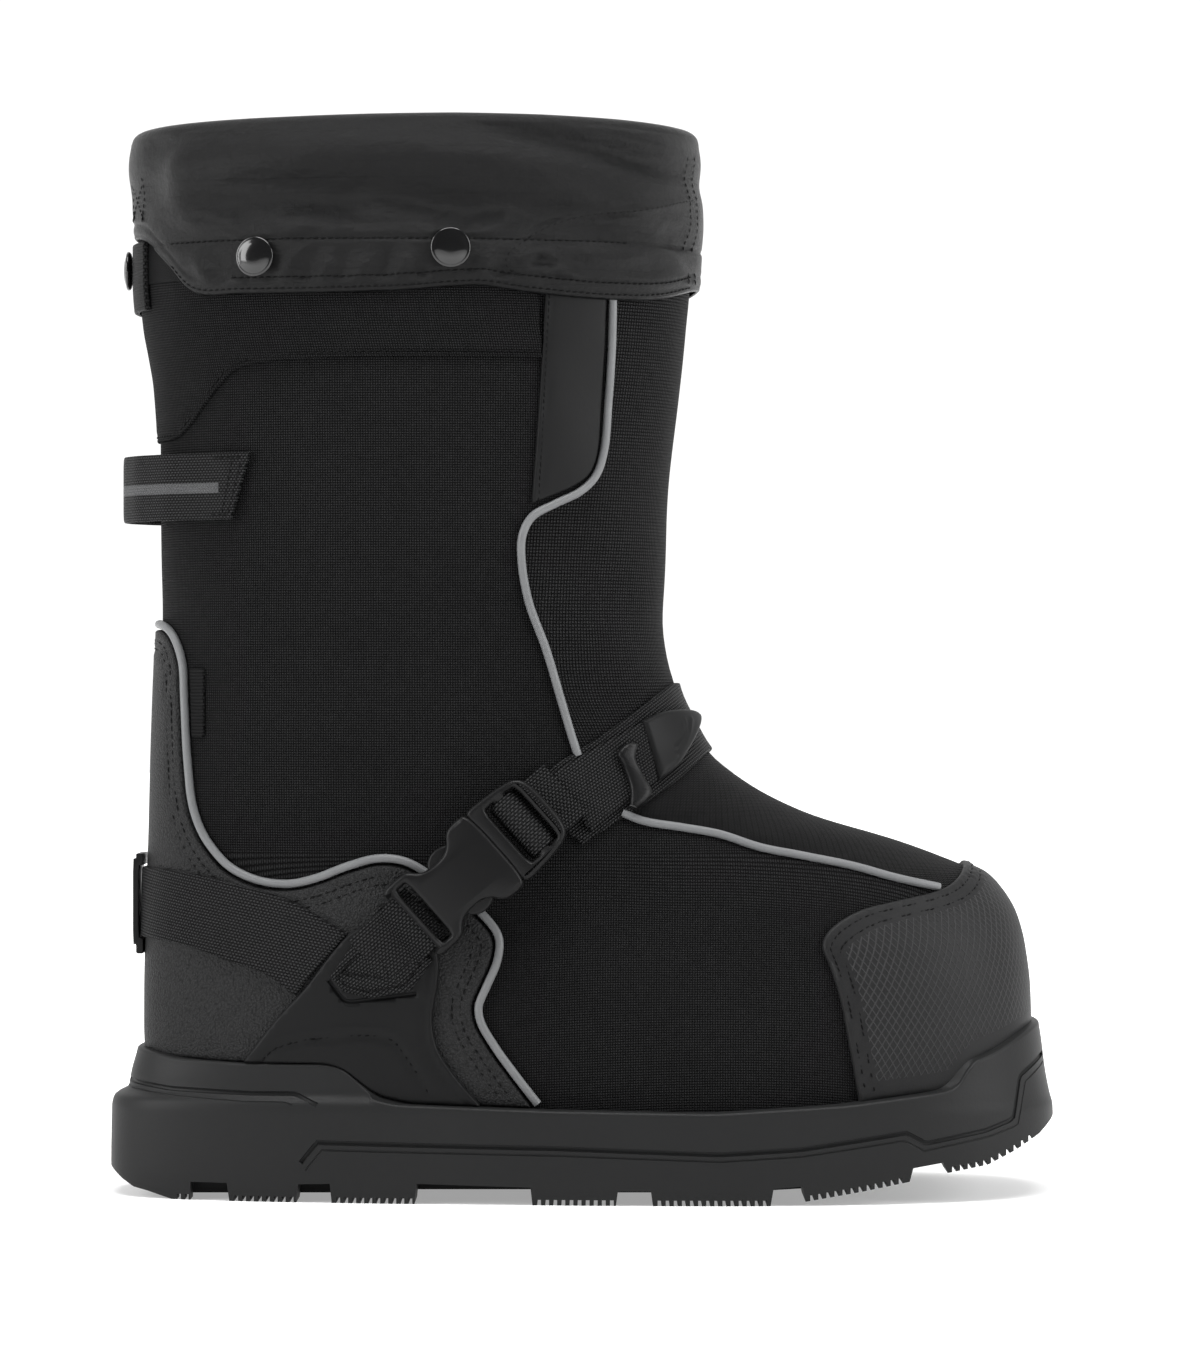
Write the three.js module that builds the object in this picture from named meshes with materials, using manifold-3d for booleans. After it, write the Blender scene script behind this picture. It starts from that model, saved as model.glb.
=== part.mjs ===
// Winter overshoe for the right foot: lugged rubber sole, woven upper, fold-down cuff and strap.
// Millimetres. +Z is up, the toe points to +X, the outer side with the buckle faces -Y.
// The tables hold shares of the named sizes: x is a share of SHOE_LENGTH from the heel,
// z is a share of SHOE_HEIGHT from the floor, half widths are shares of the width named there.
import * as THREE from "three";
import { mergeVertices } from "three/addons/utils/BufferGeometryUtils.js";
import Module from "manifold-3d";

const wasm = await Module();
wasm.setup();

// ---------- driving dimensions ----------
const SHOE_LENGTH = 360;      // heel of the sole to its toe
const SHOE_HEIGHT = 405;      // floor to the fold of the cuff
const UPPER_WIDTH = 128;      // across the upper at the ball
const SOLE_WIDTH = 139;       // across the sole at the ball
const RAND_HEIGHT = 66;       // tallest point of the sole wall, at the toe
const TOE_SWING = 7;          // how far the toe bends towards the inner side
const ARCH_HOLLOW = 5;        // how far the inner side is drawn in at the arch
const UPPER_WALL = 3;         // woven shell with its lining
const PIECE_GAP = 0.3;        // left free between neighbouring pieces
const FOOTBED_LEVEL = 28;     // floor inside the sole
const INSOLE_THICKNESS = 3;
const COUNTER_LIFT = 0.7;      // upper to the counter
const COUNTER_THICKNESS = 2.2;
const CAP_THICKNESS = 2;
const YOKE_THICKNESS = 1.6;
const PATCH_THICKNESS = 1.7;
const SADDLE_THICKNESS = 2;
const WEB_THICKNESS = 1.8;    // every strap
const TIP_THICKNESS = 3.4;
const KEEPER_THICKNESS = 2.2;
const PIPING_RADIUS = 1.6;
const PIPING_CLEARANCE = 3.2; // centre of the piping to the edge of the panel beside it
const PIPING_LIFT = 0.45;     // upper to the piping
const PIPING_CORNERS = 4;
const PIPING_STEP = 7.0;      // length of one facet of a piping
const CUFF_THICKNESS = 2;
const CUFF_STANDOFF = 2.5;    // inner face of the cuff to the upper
const CUFF_LINING = 1.4;      // part of the cuff inside the collar
const CUFF_CLEARANCE = 0.6;   // between the folded cuff and the collar inside it
const LOOP_REACH = 14.5;      // pull loop behind the shaft
const LOOP_WEBBING = 25;      // width of the pull loop
const CHANNEL_WIDTH = 15;     // between the lugs of the outer and the inner side
const CHANNEL_DEPTH = 6.4;
const GROOVE_WIDTH = 1.9;     // lines moulded in the side of the sole
const GROOVE_DEPTH = 1.3;
const SNAP_RADIUS = 7.4;
const SNAP_HEIGHT = 3.2;
const SNAP_BASE_RADIUS = 5;
const SNAP_FACETS = 12;
const LABEL_THICKNESS = 1.1;
const KEEPER_DEPTH = 22;      // back keeper, measured across the heel
const KEEPER_PLATE = 2.2;
const ORIGIN_X = 180;         // the origin lies under the middle of the bounding box
const ORIGIN_Y = 1.5;
const AROUND = 32;            // facets round the upper

// ---------- sections of the upper ----------
const section = ([z, back, front, rear, fore, backPower, frontPower]) =>
  ({ z, back, front, rear, fore, backPower, frontPower });
// z, back end, front end, half width behind, half width in front, roundness behind and in front
const UPPER = [
  [0.0600, 0.0450, 0.9580, 0.352, 0.535, 3.0, 2.7],
  [0.1410, 0.0436, 0.9706, 0.367, 0.555, 3.0, 2.7],
  [0.1880, 0.0436, 0.9695, 0.377, 0.550, 2.9, 2.65],
  [0.2306, 0.0444, 0.9640, 0.387, 0.530, 2.8, 2.6],
  [0.2590, 0.0452, 0.9556, 0.394, 0.500, 2.7, 2.5],
  [0.2870, 0.0460, 0.9356, 0.400, 0.465, 2.6, 2.4],
  [0.3015, 0.0465, 0.9150, 0.405, 0.445, 2.55, 2.3],
  [0.3156, 0.0470, 0.8778, 0.410, 0.427, 2.5, 2.2],
  [0.3300, 0.0476, 0.8333, 0.415, 0.412, 2.45, 2.15],
  [0.3580, 0.0485, 0.7356, 0.425, 0.402, 2.4, 2.1],
  [0.3864, 0.0492, 0.6740, 0.435, 0.400, 2.35, 2.1],
  [0.4148, 0.0500, 0.6333, 0.445, 0.410, 2.3, 2.1],
  [0.4430, 0.0510, 0.6140, 0.455, 0.420, 2.3, 2.1],
  [0.4716, 0.0520, 0.5980, 0.462, 0.432, 2.25, 2.1],
  [0.5000, 0.0532, 0.5908, 0.470, 0.442, 2.2, 2.1],
  [0.5425, 0.0545, 0.5878, 0.480, 0.455, 2.2, 2.1],
  [0.6270, 0.0515, 0.5897, 0.500, 0.480, 2.2, 2.1],
  [0.6980, 0.0525, 0.5970, 0.512, 0.492, 2.2, 2.1],
  [0.7550, 0.0489, 0.6036, 0.522, 0.502, 2.2, 2.1],
  [0.7830, 0.0439, 0.6070, 0.527, 0.506, 2.2, 2.1],
  [0.8116, 0.0380, 0.6100, 0.532, 0.510, 2.2, 2.1],
  [0.8543, 0.0340, 0.6139, 0.538, 0.515, 2.2, 2.1],
  [0.9280, 0.0340, 0.6125, 0.542, 0.520, 2.2, 2.1],
  [1.0000, 0.0370, 0.6085, 0.545, 0.520, 2.2, 2.1],
].map(section);
// the same columns for the sole, z and half widths as shares of RAND_HEIGHT and SOLE_WIDTH
const SOLE = [
  [0.000, 0.0030, 1.0005, 0.376, 0.536, 3.0, 2.7],
  [0.170, 0.0008, 1.0008, 0.392, 0.546, 3.0, 2.7],
  [0.500, 0.0016, 0.9994, 0.398, 0.552, 3.0, 2.7],
  [0.560, 0.0042, 0.9966, 0.394, 0.550, 3.0, 2.7],
  [0.610, 0.0190, 0.9946, 0.377, 0.547, 3.0, 2.7],
  [0.700, 0.0222, 0.9915, 0.372, 0.543, 3.0, 2.7],
  [0.860, 0.0297, 0.9878, 0.364, 0.538, 3.0, 2.7],
  [1.000, 0.0325, 0.9840, 0.360, 0.534, 3.0, 2.7],
].map(section);
const LEVELS = [0.070, 0.150, 0.195, 0.230, 0.258, 0.280, 0.297, 0.311, 0.324, 0.338, 0.356,
  0.378, 0.404, 0.434, 0.468, 0.512, 0.575, 0.650, 0.705, 0.770, 0.812, 0.875, 0.991];
const HEEL_LEVELS = [0.070, 0.150, 0.230, 0.280, 0.324, 0.360, 0.434, 0.512, 0.575];
const LINING_LEVELS = [0.070, 0.150, 0.230, 0.280, 0.311, 0.338, 0.378, 0.404, 0.434, 0.512,
  0.650, 0.790, 0.900, 0.991];

// ---------- outlines seen from the outer side: x, z ----------
const SOLE_TOP = [[0, 0.1410], [0.037, 0.136], [0.074, 0.130], [0.144, 0.127], [0.236, 0.1275],
  [0.255, 0.123], [0.272, 0.110], [0.291, 0.098], [0.322, 0.0915], [0.477, 0.087], [0.642, 0.085],
  [0.776, 0.092], [0.865, 0.1015], [0.886, 0.105], [0.898, 0.118], [0.903, 0.128], [0.935, 0.138],
  [0.966, 0.152], [0.985, 0.1605], [1, 0.163]];
const SOLE_UNDER = [[0, 0.0275], [0.0075, 0.0227], [0.017, 0.0163], [0.030, 0.0096], [0.046, 0.0067],
  [0.072, 0], [0.092, 0], [0.092, 0.017], [0.131, 0.017], [0.134, 0], [0.204, 0], [0.206, 0.017],
  [0.239, 0.018], [0.241, 0], [0.327, 0], [0.329, 0.019], [0.447, 0.0165], [0.449, 0], [0.535, 0],
  [0.537, 0.0135], [0.571, 0.0135], [0.573, 0], [0.694, 0], [0.697, 0.016], [0.727, 0.018],
  [0.730, 0.004], [0.787, 0.0125], [0.838, 0.021], [0.842, 0.034], [0.873, 0.038], [0.878, 0.028],
  [0.921, 0.034], [0.952, 0.046], [0.979, 0.059], [1, 0.074]];
const SIDE_GROOVE = [[0.209, 0.037], [0.226, 0.056], [0.477, 0.0525], [0.642, 0.0475], [0.725, 0.052],
  [0.834, 0.066], [0.855, 0.056], [0.919, 0.066], [0.949, 0.075], [0.957, 0.114], [1, 0.139]];
const HEEL_GROOVE = [[0, 0.111], [0.022, 0.107], [0.069, 0.102], [0.155, 0.0995], [0.205, 0.100],
  [0.228, 0.090]];
const COUNTER_EDGE = [[0, 0.530], [0.050, 0.530], [0.068, 0.522], [0.079, 0.500], [0.082, 0.462],
  [0.085, 0.407], [0.091, 0.360], [0.106, 0.328], [0.131, 0.303], [0.163, 0.290], [0.197, 0.287],
  [0.228, 0.293], [0.260, 0.304], [0.291, 0.311], [0.317, 0.308], [0.343, 0.294], [0.374, 0.275],
  [0.397, 0.257], [0.408, 0.242], [0.406, 0.224], [0.395, 0.201], [0.387, 0.183], [0.389, 0.166],
  [0.405, 0.141], [0.428, 0.113], [0.450, 0.086], [0.460, 0.070]];
const CAP_EDGE = [[0.787, 0.070], [0.785, 0.092], [0.776, 0.142], [0.766, 0.188], [0.756, 0.217],
  [0.748, 0.236], [0.752, 0.247], [0.764, 0.257], [0.788, 0.268], [0.822, 0.275], [0.862, 0.282],
  [0.882, 0.288], [0.896, 0.297], [0.902, 0.306], [0.897, 0.320]];
const YOKE_EDGE = [[0, 0.703], [0.050, 0.704], [0.076, 0.705], [0.092, 0.716], [0.109, 0.735],
  [0.125, 0.752], [0.142, 0.766], [0.166, 0.772], [0.210, 0.775], [0.313, 0.777], [0.4525, 0.777]];
const PATCH = [[0.460, 0.870], [0.523, 0.870], [0.5225, 0.785], [0.520, 0.739], [0.515, 0.690],
  [0.506, 0.671], [0.491, 0.660], [0.467, 0.650], [0.447, 0.643]];
const FRONT_PIPING = [[0.5305, 0.826], [0.5295, 0.785], [0.5270, 0.739], [0.5220, 0.694],
  [0.5130, 0.670], [0.4970, 0.655], [0.4710, 0.643], [0.4480, 0.631], [0.4380, 0.614],
  [0.4370, 0.591], [0.4440, 0.554], [0.4620, 0.509], [0.4770, 0.463], [0.4850, 0.440]];
const VAMP_PIPING = [[0.5640, 0.3500], [0.5800, 0.3455], [0.6020, 0.3440], [0.6430, 0.3370],
  [0.6850, 0.3250], [0.7260, 0.3180], [0.7790, 0.3080], [0.8310, 0.2950], [0.8600, 0.2900]];
const HEEL_STRAP = [[0, 0.305], [0.079, 0.304], [0.144, 0.292], [0.197, 0.278], [0.2590, 0.2470],
  [0.2355, 0.2240], [0.2045, 0.1900], [0.176, 0.209], [0.133, 0.222], [0.079, 0.237], [0, 0.241]];
const SADDLE = [[0.148, 0.110], [0.150, 0.128], [0.182, 0.165], [0.215, 0.1975], [0.2415, 0.2285],
  [0.262, 0.248], [0.283, 0.258], [0.332, 0.251], [0.354, 0.231], [0.353, 0.205], [0.347, 0.169],
  [0.353, 0.142], [0.375, 0.113], [0.400, 0.085], [0.420, 0.060], [0.148, 0.060]];
const ANCHOR_TAB = [[0.243, 0.209], [0.256, 0.195], [0.284, 0.189], [0.322, 0.1955],
  [0.3590, 0.2380], [0.420, 0.310], [0.370, 0.350], [0.3110, 0.2880]];
const STRAP_BAND = [[0.470, 0.4020], [0.525, 0.4330], [0.602, 0.483], [0.640, 0.5000],
  [0.665, 0.4400], [0.640, 0.4200], [0.600, 0.3880], [0.560, 0.3640], [0.500, 0.3300]];
const STRAP_TAIL = [[0.4640, 0.3930], [0.520, 0.4220], [0.554, 0.4385], [0.5720, 0.3860],
  [0.5480, 0.3680], [0.5080, 0.3400]];
const STRAP_TIP = [[0.558, 0.441], [0.575, 0.449], [0.604, 0.449], [0.614, 0.441], [0.611, 0.425],
  [0.598, 0.399], [0.576, 0.384], [0.566, 0.412]];
const STRAP_KEEPER = [[0.531, 0.410], [0.541, 0.420], [0.550, 0.418], [0.549, 0.405], [0.559, 0.386],
  [0.568, 0.370], [0.557, 0.361], [0.548, 0.3595], [0.546, 0.376], [0.538, 0.396]];
const CUFF_HEM = [[0, 0.905], [0.047, 0.894], [0.075, 0.865], [0.104, 0.837], [0.210, 0.834],
  [0.314, 0.836], [0.365, 0.841], [0.436, 0.836], [0.519, 0.831], [0.575, 0.834], [0.614, 0.847],
  [0.660, 0.856]];
// offset from the upper and height of each corner of the cuff's wall
const CUFF_WALL = [
  { out: CUFF_STANDOFF, z: 0.800 },
  { out: CUFF_STANDOFF + CUFF_THICKNESS, z: 0.800 },
  { out: CUFF_STANDOFF + CUFF_THICKNESS + 0.7, z: 0.850 },
  { out: CUFF_STANDOFF + CUFF_THICKNESS + 0.4, z: 0.950 },
  { out: CUFF_STANDOFF + CUFF_THICKNESS - 0.9, z: 0.9875 },
  { out: 0.6, z: 1.0000 },
  { out: -2.4, z: 0.9985 },
  { out: -UPPER_WALL - CUFF_CLEARANCE - CUFF_LINING, z: 0.9860 },
  { out: -UPPER_WALL - CUFF_CLEARANCE - CUFF_LINING - 0.3, z: 0.9400 },
  { out: -UPPER_WALL - CUFF_CLEARANCE - 0.1, z: 0.9400 },
  { out: -UPPER_WALL - CUFF_CLEARANCE, z: 0.9925 },
  { out: CUFF_CLEARANCE, z: 0.9930 },
  { out: CUFF_STANDOFF - 0.6, z: 0.9750 },
  { out: CUFF_STANDOFF + 0.7, z: 0.8500 },
];
// half outlines of the buckle in its own plane: along its axis, across it, in mm
const SOCKET = [[0, 14.2], [2, 16], [10.5, 16], [13.5, 14.2], [17.5, 10.8], [27, 10.6], [30.5, 12.6],
  [33, 16.2], [37.5, 17.4], [42, 16.9], [44, 8]];
const SOCKET_SLOT = [[4.2, 13.2], [10, 13.2]];
const PRONG_FRAME = [[45.1, 8], [42.9, 16.7], [46, 17], [58, 15.8], [64.5, 14.4], [66.5, 12.8], [68.2, 7]];
const PRONG_SLOT_NEAR = [[48.6, 13.2], [54.4, 13.2]];
const PRONG_SLOT_FAR = [[58.4, 13], [63.8, 12.4]];
const PRONG_ARM = [[18.5, 11.2], [21.5, 14.2], [26, 14.8], [30, 14.0], [34, 13.6], [45.2, 13.6],
  [45.2, 8.6], [30, 8.6], [20, 9.2]];
const SOCKET_THICKNESS = 8.6;
const PRONG_THICKNESS = 4.2;
const BUCKLE_STANDOFF = 5.9;  // fabric to the underside of the buckle
const BUCKLE_HEADING = 42.2;  // degrees above the floor, seen from the outer side
const BUCKLE_SEAT = [0.3706, 0.2915];
const BUCKLE_MIDDLE = 22;     // where the seat lies along the buckle's axis
const SOCKET_BAR = 3.2;       // height of the bar that holds the anchor tab
const PRONG_BAR = 5.4;        // height of the bar that holds the strap
const PRONG_END_LIFT = 3.8;   // underside of the end bar above the buckle's underside
const WEB_WIDTH = 25;         // straps in the buckle

// ---------- the form of the upper and of the sole ----------
const clamp01 = (t) => Math.min(1, Math.max(0, t));
const smooth = (t) => { const s = clamp01(t); return s * s * (3 - 2 * s); };
const mix = (a, b, t) => a + (b - a) * t;

function sectionAt(table, z) {
  let i = 0;
  while (i < table.length - 2 && z > table[i + 1].z) i++;
  const a = table[i], b = table[i + 1], t = clamp01((z - a.z) / (b.z - a.z));
  const before = table[Math.max(0, i - 1)], after = table[Math.min(table.length - 1, i + 2)];
  const value = (key) => {
    const slope = (p, q) => (q.z === p.z ? 0 : (q[key] - p[key]) / (q.z - p.z));
    const own = slope(a, b), left = slope(before, a), right = slope(b, after);
    const soft = (p, q) => (p * q <= 0 ? 0 : (2 * p * q) / (p + q));
    const m0 = i === 0 ? own : soft(left, own), m1 = i + 2 >= table.length ? own : soft(own, right);
    const h = b.z - a.z, t2 = t * t, t3 = t2 * t;
    return (2 * t3 - 3 * t2 + 1) * a[key] + (t3 - 2 * t2 + t) * h * m0
      + (3 * t2 - 2 * t3) * b[key] + (t3 - t2) * h * m1;
  };
  return { back: value("back"), front: value("front"), rear: value("rear"), fore: value("fore"),
    backPower: value("backPower"), frontPower: value("frontPower") };
}
function centreLine(x) {
  return TOE_SWING * smooth((x / SHOE_LENGTH - 0.4) / 0.75);
}
function archHollow(x, z) {
  const t = (x / SHOE_LENGTH - 0.42) / 0.24;
  return Math.abs(t) > 1 ? 0 : ARCH_HOLLOW * (1 - t * t) ** 2 * (1 - smooth(z / (0.3 * SHOE_HEIGHT)));
}
// one closed ring at a height: side -1 is the outer half, +1 the inner half, both from front to back
const ringCache = new Map();
function ring(form, height) {
  const key = form.name + height.toFixed(4);
  if (ringCache.has(key)) return ringCache.get(key);
  const s = sectionAt(form.table, height / form.tall);
  const back = s.back * SHOE_LENGTH, front = s.front * SHOE_LENGTH;
  const halves = [-1, 1].map((side) => {
    const points = [], steps = 220;
    for (let i = 0; i <= steps; i++) {
      const angle = (Math.PI * i) / steps, cosine = Math.cos(angle);
      const power = cosine >= 0 ? s.frontPower : s.backPower;
      const along = Math.sign(cosine) * Math.abs(cosine) ** (2 / power);
      const across = i === 0 || i === steps ? 0 : Math.sin(angle) ** (2 / power);
      const x = (front + back) / 2 + along * (front - back) / 2;
      const half = mix(s.rear, s.fore, smooth((1 + along) / 2)) * form.wide * across;
      const hollow = side > 0 ? archHollow(x, height) * across : 0;
      points.push([x, centreLine(x) + side * (half - hollow)]);
    }
    const measure = [0];
    let heading = null;
    for (let i = 1; i < points.length; i++) {
      const dx = points[i][0] - points[i - 1][0], dy = points[i][1] - points[i - 1][1];
      const next = Math.atan2(dy, dx);
      let turn = heading === null ? 0 : Math.abs(next - heading);
      if (turn > Math.PI) turn = 2 * Math.PI - turn;
      heading = next;
      measure.push(measure[i - 1] + Math.hypot(dx, dy) + 40 * Math.min(turn, 0.3));
    }
    return { points, measure };
  });
  const made = { halves };
  ringCache.set(key, made);
  return made;
}
const UPPER_FORM = { name: "upper", table: UPPER, tall: SHOE_HEIGHT, wide: UPPER_WIDTH };
const SOLE_FORM = { name: "sole", table: SOLE, tall: RAND_HEIGHT, wide: SOLE_WIDTH };

// a point of a form: turn 0 is the front, 0.5 the back, below 0.5 the outer side
function pointOn(form, turn, height) {
  const t = ((turn % 1) + 1) % 1;
  const outer = t <= 0.5;
  const half = ring(form, height).halves[outer ? 0 : 1];
  const share = outer ? t * 2 : (1 - t) * 2;
  const wanted = share * half.measure[half.measure.length - 1];
  let low = 0, high = half.measure.length - 1;
  while (high - low > 1) {
    const middle = (low + high) >> 1;
    if (half.measure[middle] <= wanted) low = middle; else high = middle;
  }
  const f = clamp01((wanted - half.measure[low]) / (half.measure[high] - half.measure[low]));
  const a = half.points[low], b = half.points[high];
  return new THREE.Vector3(mix(a[0], b[0], f), mix(a[1], b[1], f), height);
}
function normalOn(form, turn, height) {
  const step = 0.004, rise = 0.8;
  const along = pointOn(form, turn + step, height).sub(pointOn(form, turn - step, height));
  const up = pointOn(form, turn, height + rise).sub(pointOn(form, turn, height - rise));
  return up.cross(along).normalize();
}
// the offset may be a number or a function of the point and of the side
function offsetPoint(form, turn, height, out) {
  const p = pointOn(form, turn, height), n = normalOn(form, turn, height);
  const distance = typeof out === "function" ? out(p.x / SHOE_LENGTH, height / SHOE_HEIGHT, turn < 0.5 ? -1 : 1) : out;
  return p.addScaledVector(n, distance);
}
// the place on the upper that is seen at x, z from one side
function locate(x, z, side) {
  const height = z * SHOE_HEIGHT, half = ring(UPPER_FORM, height).halves[side < 0 ? 0 : 1];
  const wanted = x * SHOE_LENGTH, total = half.measure[half.measure.length - 1];
  let i = 1;
  while (i < half.points.length - 1 && half.points[i][0] > wanted) i++;
  const a = half.points[i - 1], b = half.points[i];
  const f = clamp01((a[0] - wanted) / Math.max(1e-6, a[0] - b[0]));
  const share = mix(half.measure[i - 1], half.measure[i], f) / total / 2;
  const turn = side < 0 ? share : 1 - share;
  return { turn, height, point: pointOn(UPPER_FORM, turn, height), normal: normalOn(UPPER_FORM, turn, height) };
}

// ---------- solids ----------
function toManifold(positions, indices) {
  return new wasm.Manifold(new wasm.Mesh({
    numProp: 3, vertProperties: Float32Array.from(positions), triVerts: Uint32Array.from(indices) }));
}
function solidOf(geometry) {
  const bare = new THREE.BufferGeometry();
  bare.setAttribute("position", geometry.getAttribute("position").clone());
  if (geometry.index) bare.setIndex(geometry.index.clone());
  const merged = mergeVertices(bare, 1e-4);
  return toManifold(merged.getAttribute("position").array, merged.index.array);
}
function geometryOf(manifold) {
  const mesh = manifold.getMesh(), positions = new Float32Array(mesh.numVert * 3);
  for (let i = 0; i < mesh.numVert; i++)
    for (let k = 0; k < 3; k++) positions[i * 3 + k] = mesh.vertProperties[i * mesh.numProp + k];
  const geometry = new THREE.BufferGeometry();
  geometry.setAttribute("position", new THREE.BufferAttribute(positions, 3));
  geometry.setIndex(new THREE.BufferAttribute(new Uint32Array(mesh.triVerts), 1));
  return geometry;
}
function stackRings(rows, indices, first, flip) {
  for (let r = 0; r + 1 < rows; r++)
    for (let i = 0; i < AROUND; i++) {
      const a = first + r * AROUND + i, b = first + r * AROUND + ((i + 1) % AROUND), c = a + AROUND, d = b + AROUND;
      if (flip) indices.push(a, b, d, a, d, c); else indices.push(a, d, b, a, c, d);
    }
}
// a solid between an outer and an inner offset of a form, open above and below
function shellOf(form, outside, inside, outerHeights, innerHeights) {
  const positions = [], indices = [];
  for (const [heights, out] of [[outerHeights, outside], [innerHeights, inside]])
    for (const height of heights)
      for (let i = 0; i < AROUND; i++) positions.push(...offsetPoint(form, i / AROUND, height, out).toArray());
  const rows = outerHeights.length, inner = rows * AROUND, last = innerHeights.length - 1;
  stackRings(rows, indices, 0, false);
  stackRings(innerHeights.length, indices, inner, true);
  for (let i = 0; i < AROUND; i++) {
    const j = (i + 1) % AROUND, top = (rows - 1) * AROUND, cap = inner + last * AROUND;
    indices.push(i, j, inner + j, i, inner + j, inner + i);
    indices.push(top + i, cap + j, top + j, top + i, cap + i, cap + j);
  }
  return toManifold(positions, indices);
}
// a full solid inside one offset of a form
function fillOf(form, out, heights) {
  const positions = [], indices = [];
  for (const height of heights)
    for (let i = 0; i < AROUND; i++) positions.push(...offsetPoint(form, i / AROUND, height, out).toArray());
  stackRings(heights.length, indices, 0, false);
  const low = positions.length / 3, top = (heights.length - 1) * AROUND;
  const middle = SHOE_LENGTH * 0.4;
  positions.push(middle, 0, heights[0], middle, 0, heights[heights.length - 1]);
  for (let i = 0; i < AROUND; i++) {
    const j = (i + 1) % AROUND;
    indices.push(low, i, j, low + 1, top + j, top + i);
  }
  return toManifold(positions, indices);
}
const REACH = 220;
// an outline of the side view carried right across the shoe, or over one side only
function sideBlock(outline, side = 0) {
  const shape = new THREE.Shape(outline.map(([x, z]) => new THREE.Vector2(x * SHOE_LENGTH, z * SHOE_HEIGHT)));
  const block = new THREE.ExtrudeGeometry(shape, { depth: side ? REACH : 2 * REACH, bevelEnabled: false });
  block.rotateX(Math.PI / 2);
  if (side >= 0) block.translate(0, REACH, 0);
  return solidOf(block);
}
// a band of a given width along a line of the side view
function sideBand(line, width) {
  const left = [], right = [];
  line.forEach(([x, z], i) => {
    const [ax, az] = line[Math.max(0, i - 1)], [bx, bz] = line[Math.min(line.length - 1, i + 1)];
    const dx = (bx - ax) * SHOE_LENGTH, dz = (bz - az) * SHOE_HEIGHT, l = Math.hypot(dx, dz);
    const sx = (-dz / l) * width / 2 / SHOE_LENGTH, sz = (dx / l) * width / 2 / SHOE_HEIGHT;
    left.push([x + sx, z + sz]);
    right.push([x - sx, z - sz]);
  });
  return sideBlock([...left, ...right.reverse()]);
}
const upperHeights = LEVELS.map((v) => v * SHOE_HEIGHT);
const liningHeights = LINING_LEVELS.map((v) => v * SHOE_HEIGHT);
function overlay(from, to, low = 0, high = 1, levels = LEVELS) {
  const heights = levels.filter((v) => v >= low && v <= high).map((v) => v * SHOE_HEIGHT);
  return shellOf(UPPER_FORM, to, from, heights, heights);
}
const aboveSole = (right) => SOLE_TOP.filter(([x]) => x <= right).map(([x, z]) => [x, z + PIECE_GAP / SHOE_HEIGHT]);
function soleTopAt(x) {
  const i = Math.max(1, SOLE_TOP.findIndex(([px]) => px >= x));
  const [ax, az] = SOLE_TOP[i - 1], [bx, bz] = SOLE_TOP[i];
  return mix(az, bz, (x - ax) / (bx - ax)) + PIECE_GAP / SHOE_HEIGHT;
}

// ---------- materials ----------
const fabric = new THREE.MeshStandardMaterial({ color: 0x141415, roughness: 0.85, metalness: 0 });
const nylon = new THREE.MeshStandardMaterial({ color: 0x1d1d1f, roughness: 0.5, metalness: 0 });
const rubber = new THREE.MeshStandardMaterial({ color: 0x262728, roughness: 0.6, metalness: 0 });
const leather = new THREE.MeshStandardMaterial({ color: 0x1f2021, roughness: 0.75, metalness: 0 });
const webbing = new THREE.MeshStandardMaterial({ color: 0x18191a, roughness: 0.8, metalness: 0 });
const plastic = new THREE.MeshStandardMaterial({ color: 0x1b1b1c, roughness: 0.4, metalness: 0 });
const reflective = new THREE.MeshStandardMaterial({ color: 0x8f9193, roughness: 0.45, metalness: 0 });
const gloss = new THREE.MeshStandardMaterial({ color: 0x0d0d0e, roughness: 0.15, metalness: 0 });
const felt = new THREE.MeshStandardMaterial({ color: 0x3a3a3c, roughness: 0.95, metalness: 0 });

const overshoe = new THREE.Group();
overshoe.name = "winter_overshoe";
function addPiece(name, solid, material) {
  const geometry = solid instanceof THREE.BufferGeometry ? solid : geometryOf(solid);
  geometry.translate(-ORIGIN_X, -ORIGIN_Y, 0);
  geometry.computeVertexNormals();
  const mesh = new THREE.Mesh(geometry, material);
  mesh.name = name;
  overshoe.add(mesh);
}

// ---------- upper and insole ----------
const upper = shellOf(UPPER_FORM, 0, -UPPER_WALL, upperHeights, liningHeights);
addPiece("upper", upper, fabric);
const insole = fillOf(UPPER_FORM, -UPPER_WALL - PIECE_GAP,
  [FOOTBED_LEVEL + PIECE_GAP, FOOTBED_LEVEL + PIECE_GAP + INSOLE_THICKNESS]);
addPiece("insole", insole, felt);

// ---------- sole ----------
const soleHeights = SOLE.map((row) => row.z * RAND_HEIGHT);
const soleOutline = [...SOLE_UNDER.map(([x, z]) => [x === 0 ? -0.02 : x === 1 ? 1.02 : x, z]),
  ...SOLE_TOP.map(([x, z]) => [x === 0 ? -0.02 : x === 1 ? 1.02 : x, z]).reverse()];
const cupHeights = [FOOTBED_LEVEL, 0.105 * SHOE_HEIGHT, 0.150 * SHOE_HEIGHT, 0.195 * SHOE_HEIGHT];
let sole = fillOf(SOLE_FORM, 0, soleHeights).intersect(sideBlock(soleOutline));
sole = sole.subtract(fillOf(UPPER_FORM, PIECE_GAP, cupHeights));
const soleCore = fillOf(SOLE_FORM, -GROOVE_DEPTH, soleHeights);
sole = sole.subtract(sideBand(SIDE_GROOVE, GROOVE_WIDTH).subtract(soleCore));
sole = sole.subtract(sideBand(HEEL_GROOVE, GROOVE_WIDTH).subtract(soleCore));
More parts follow.
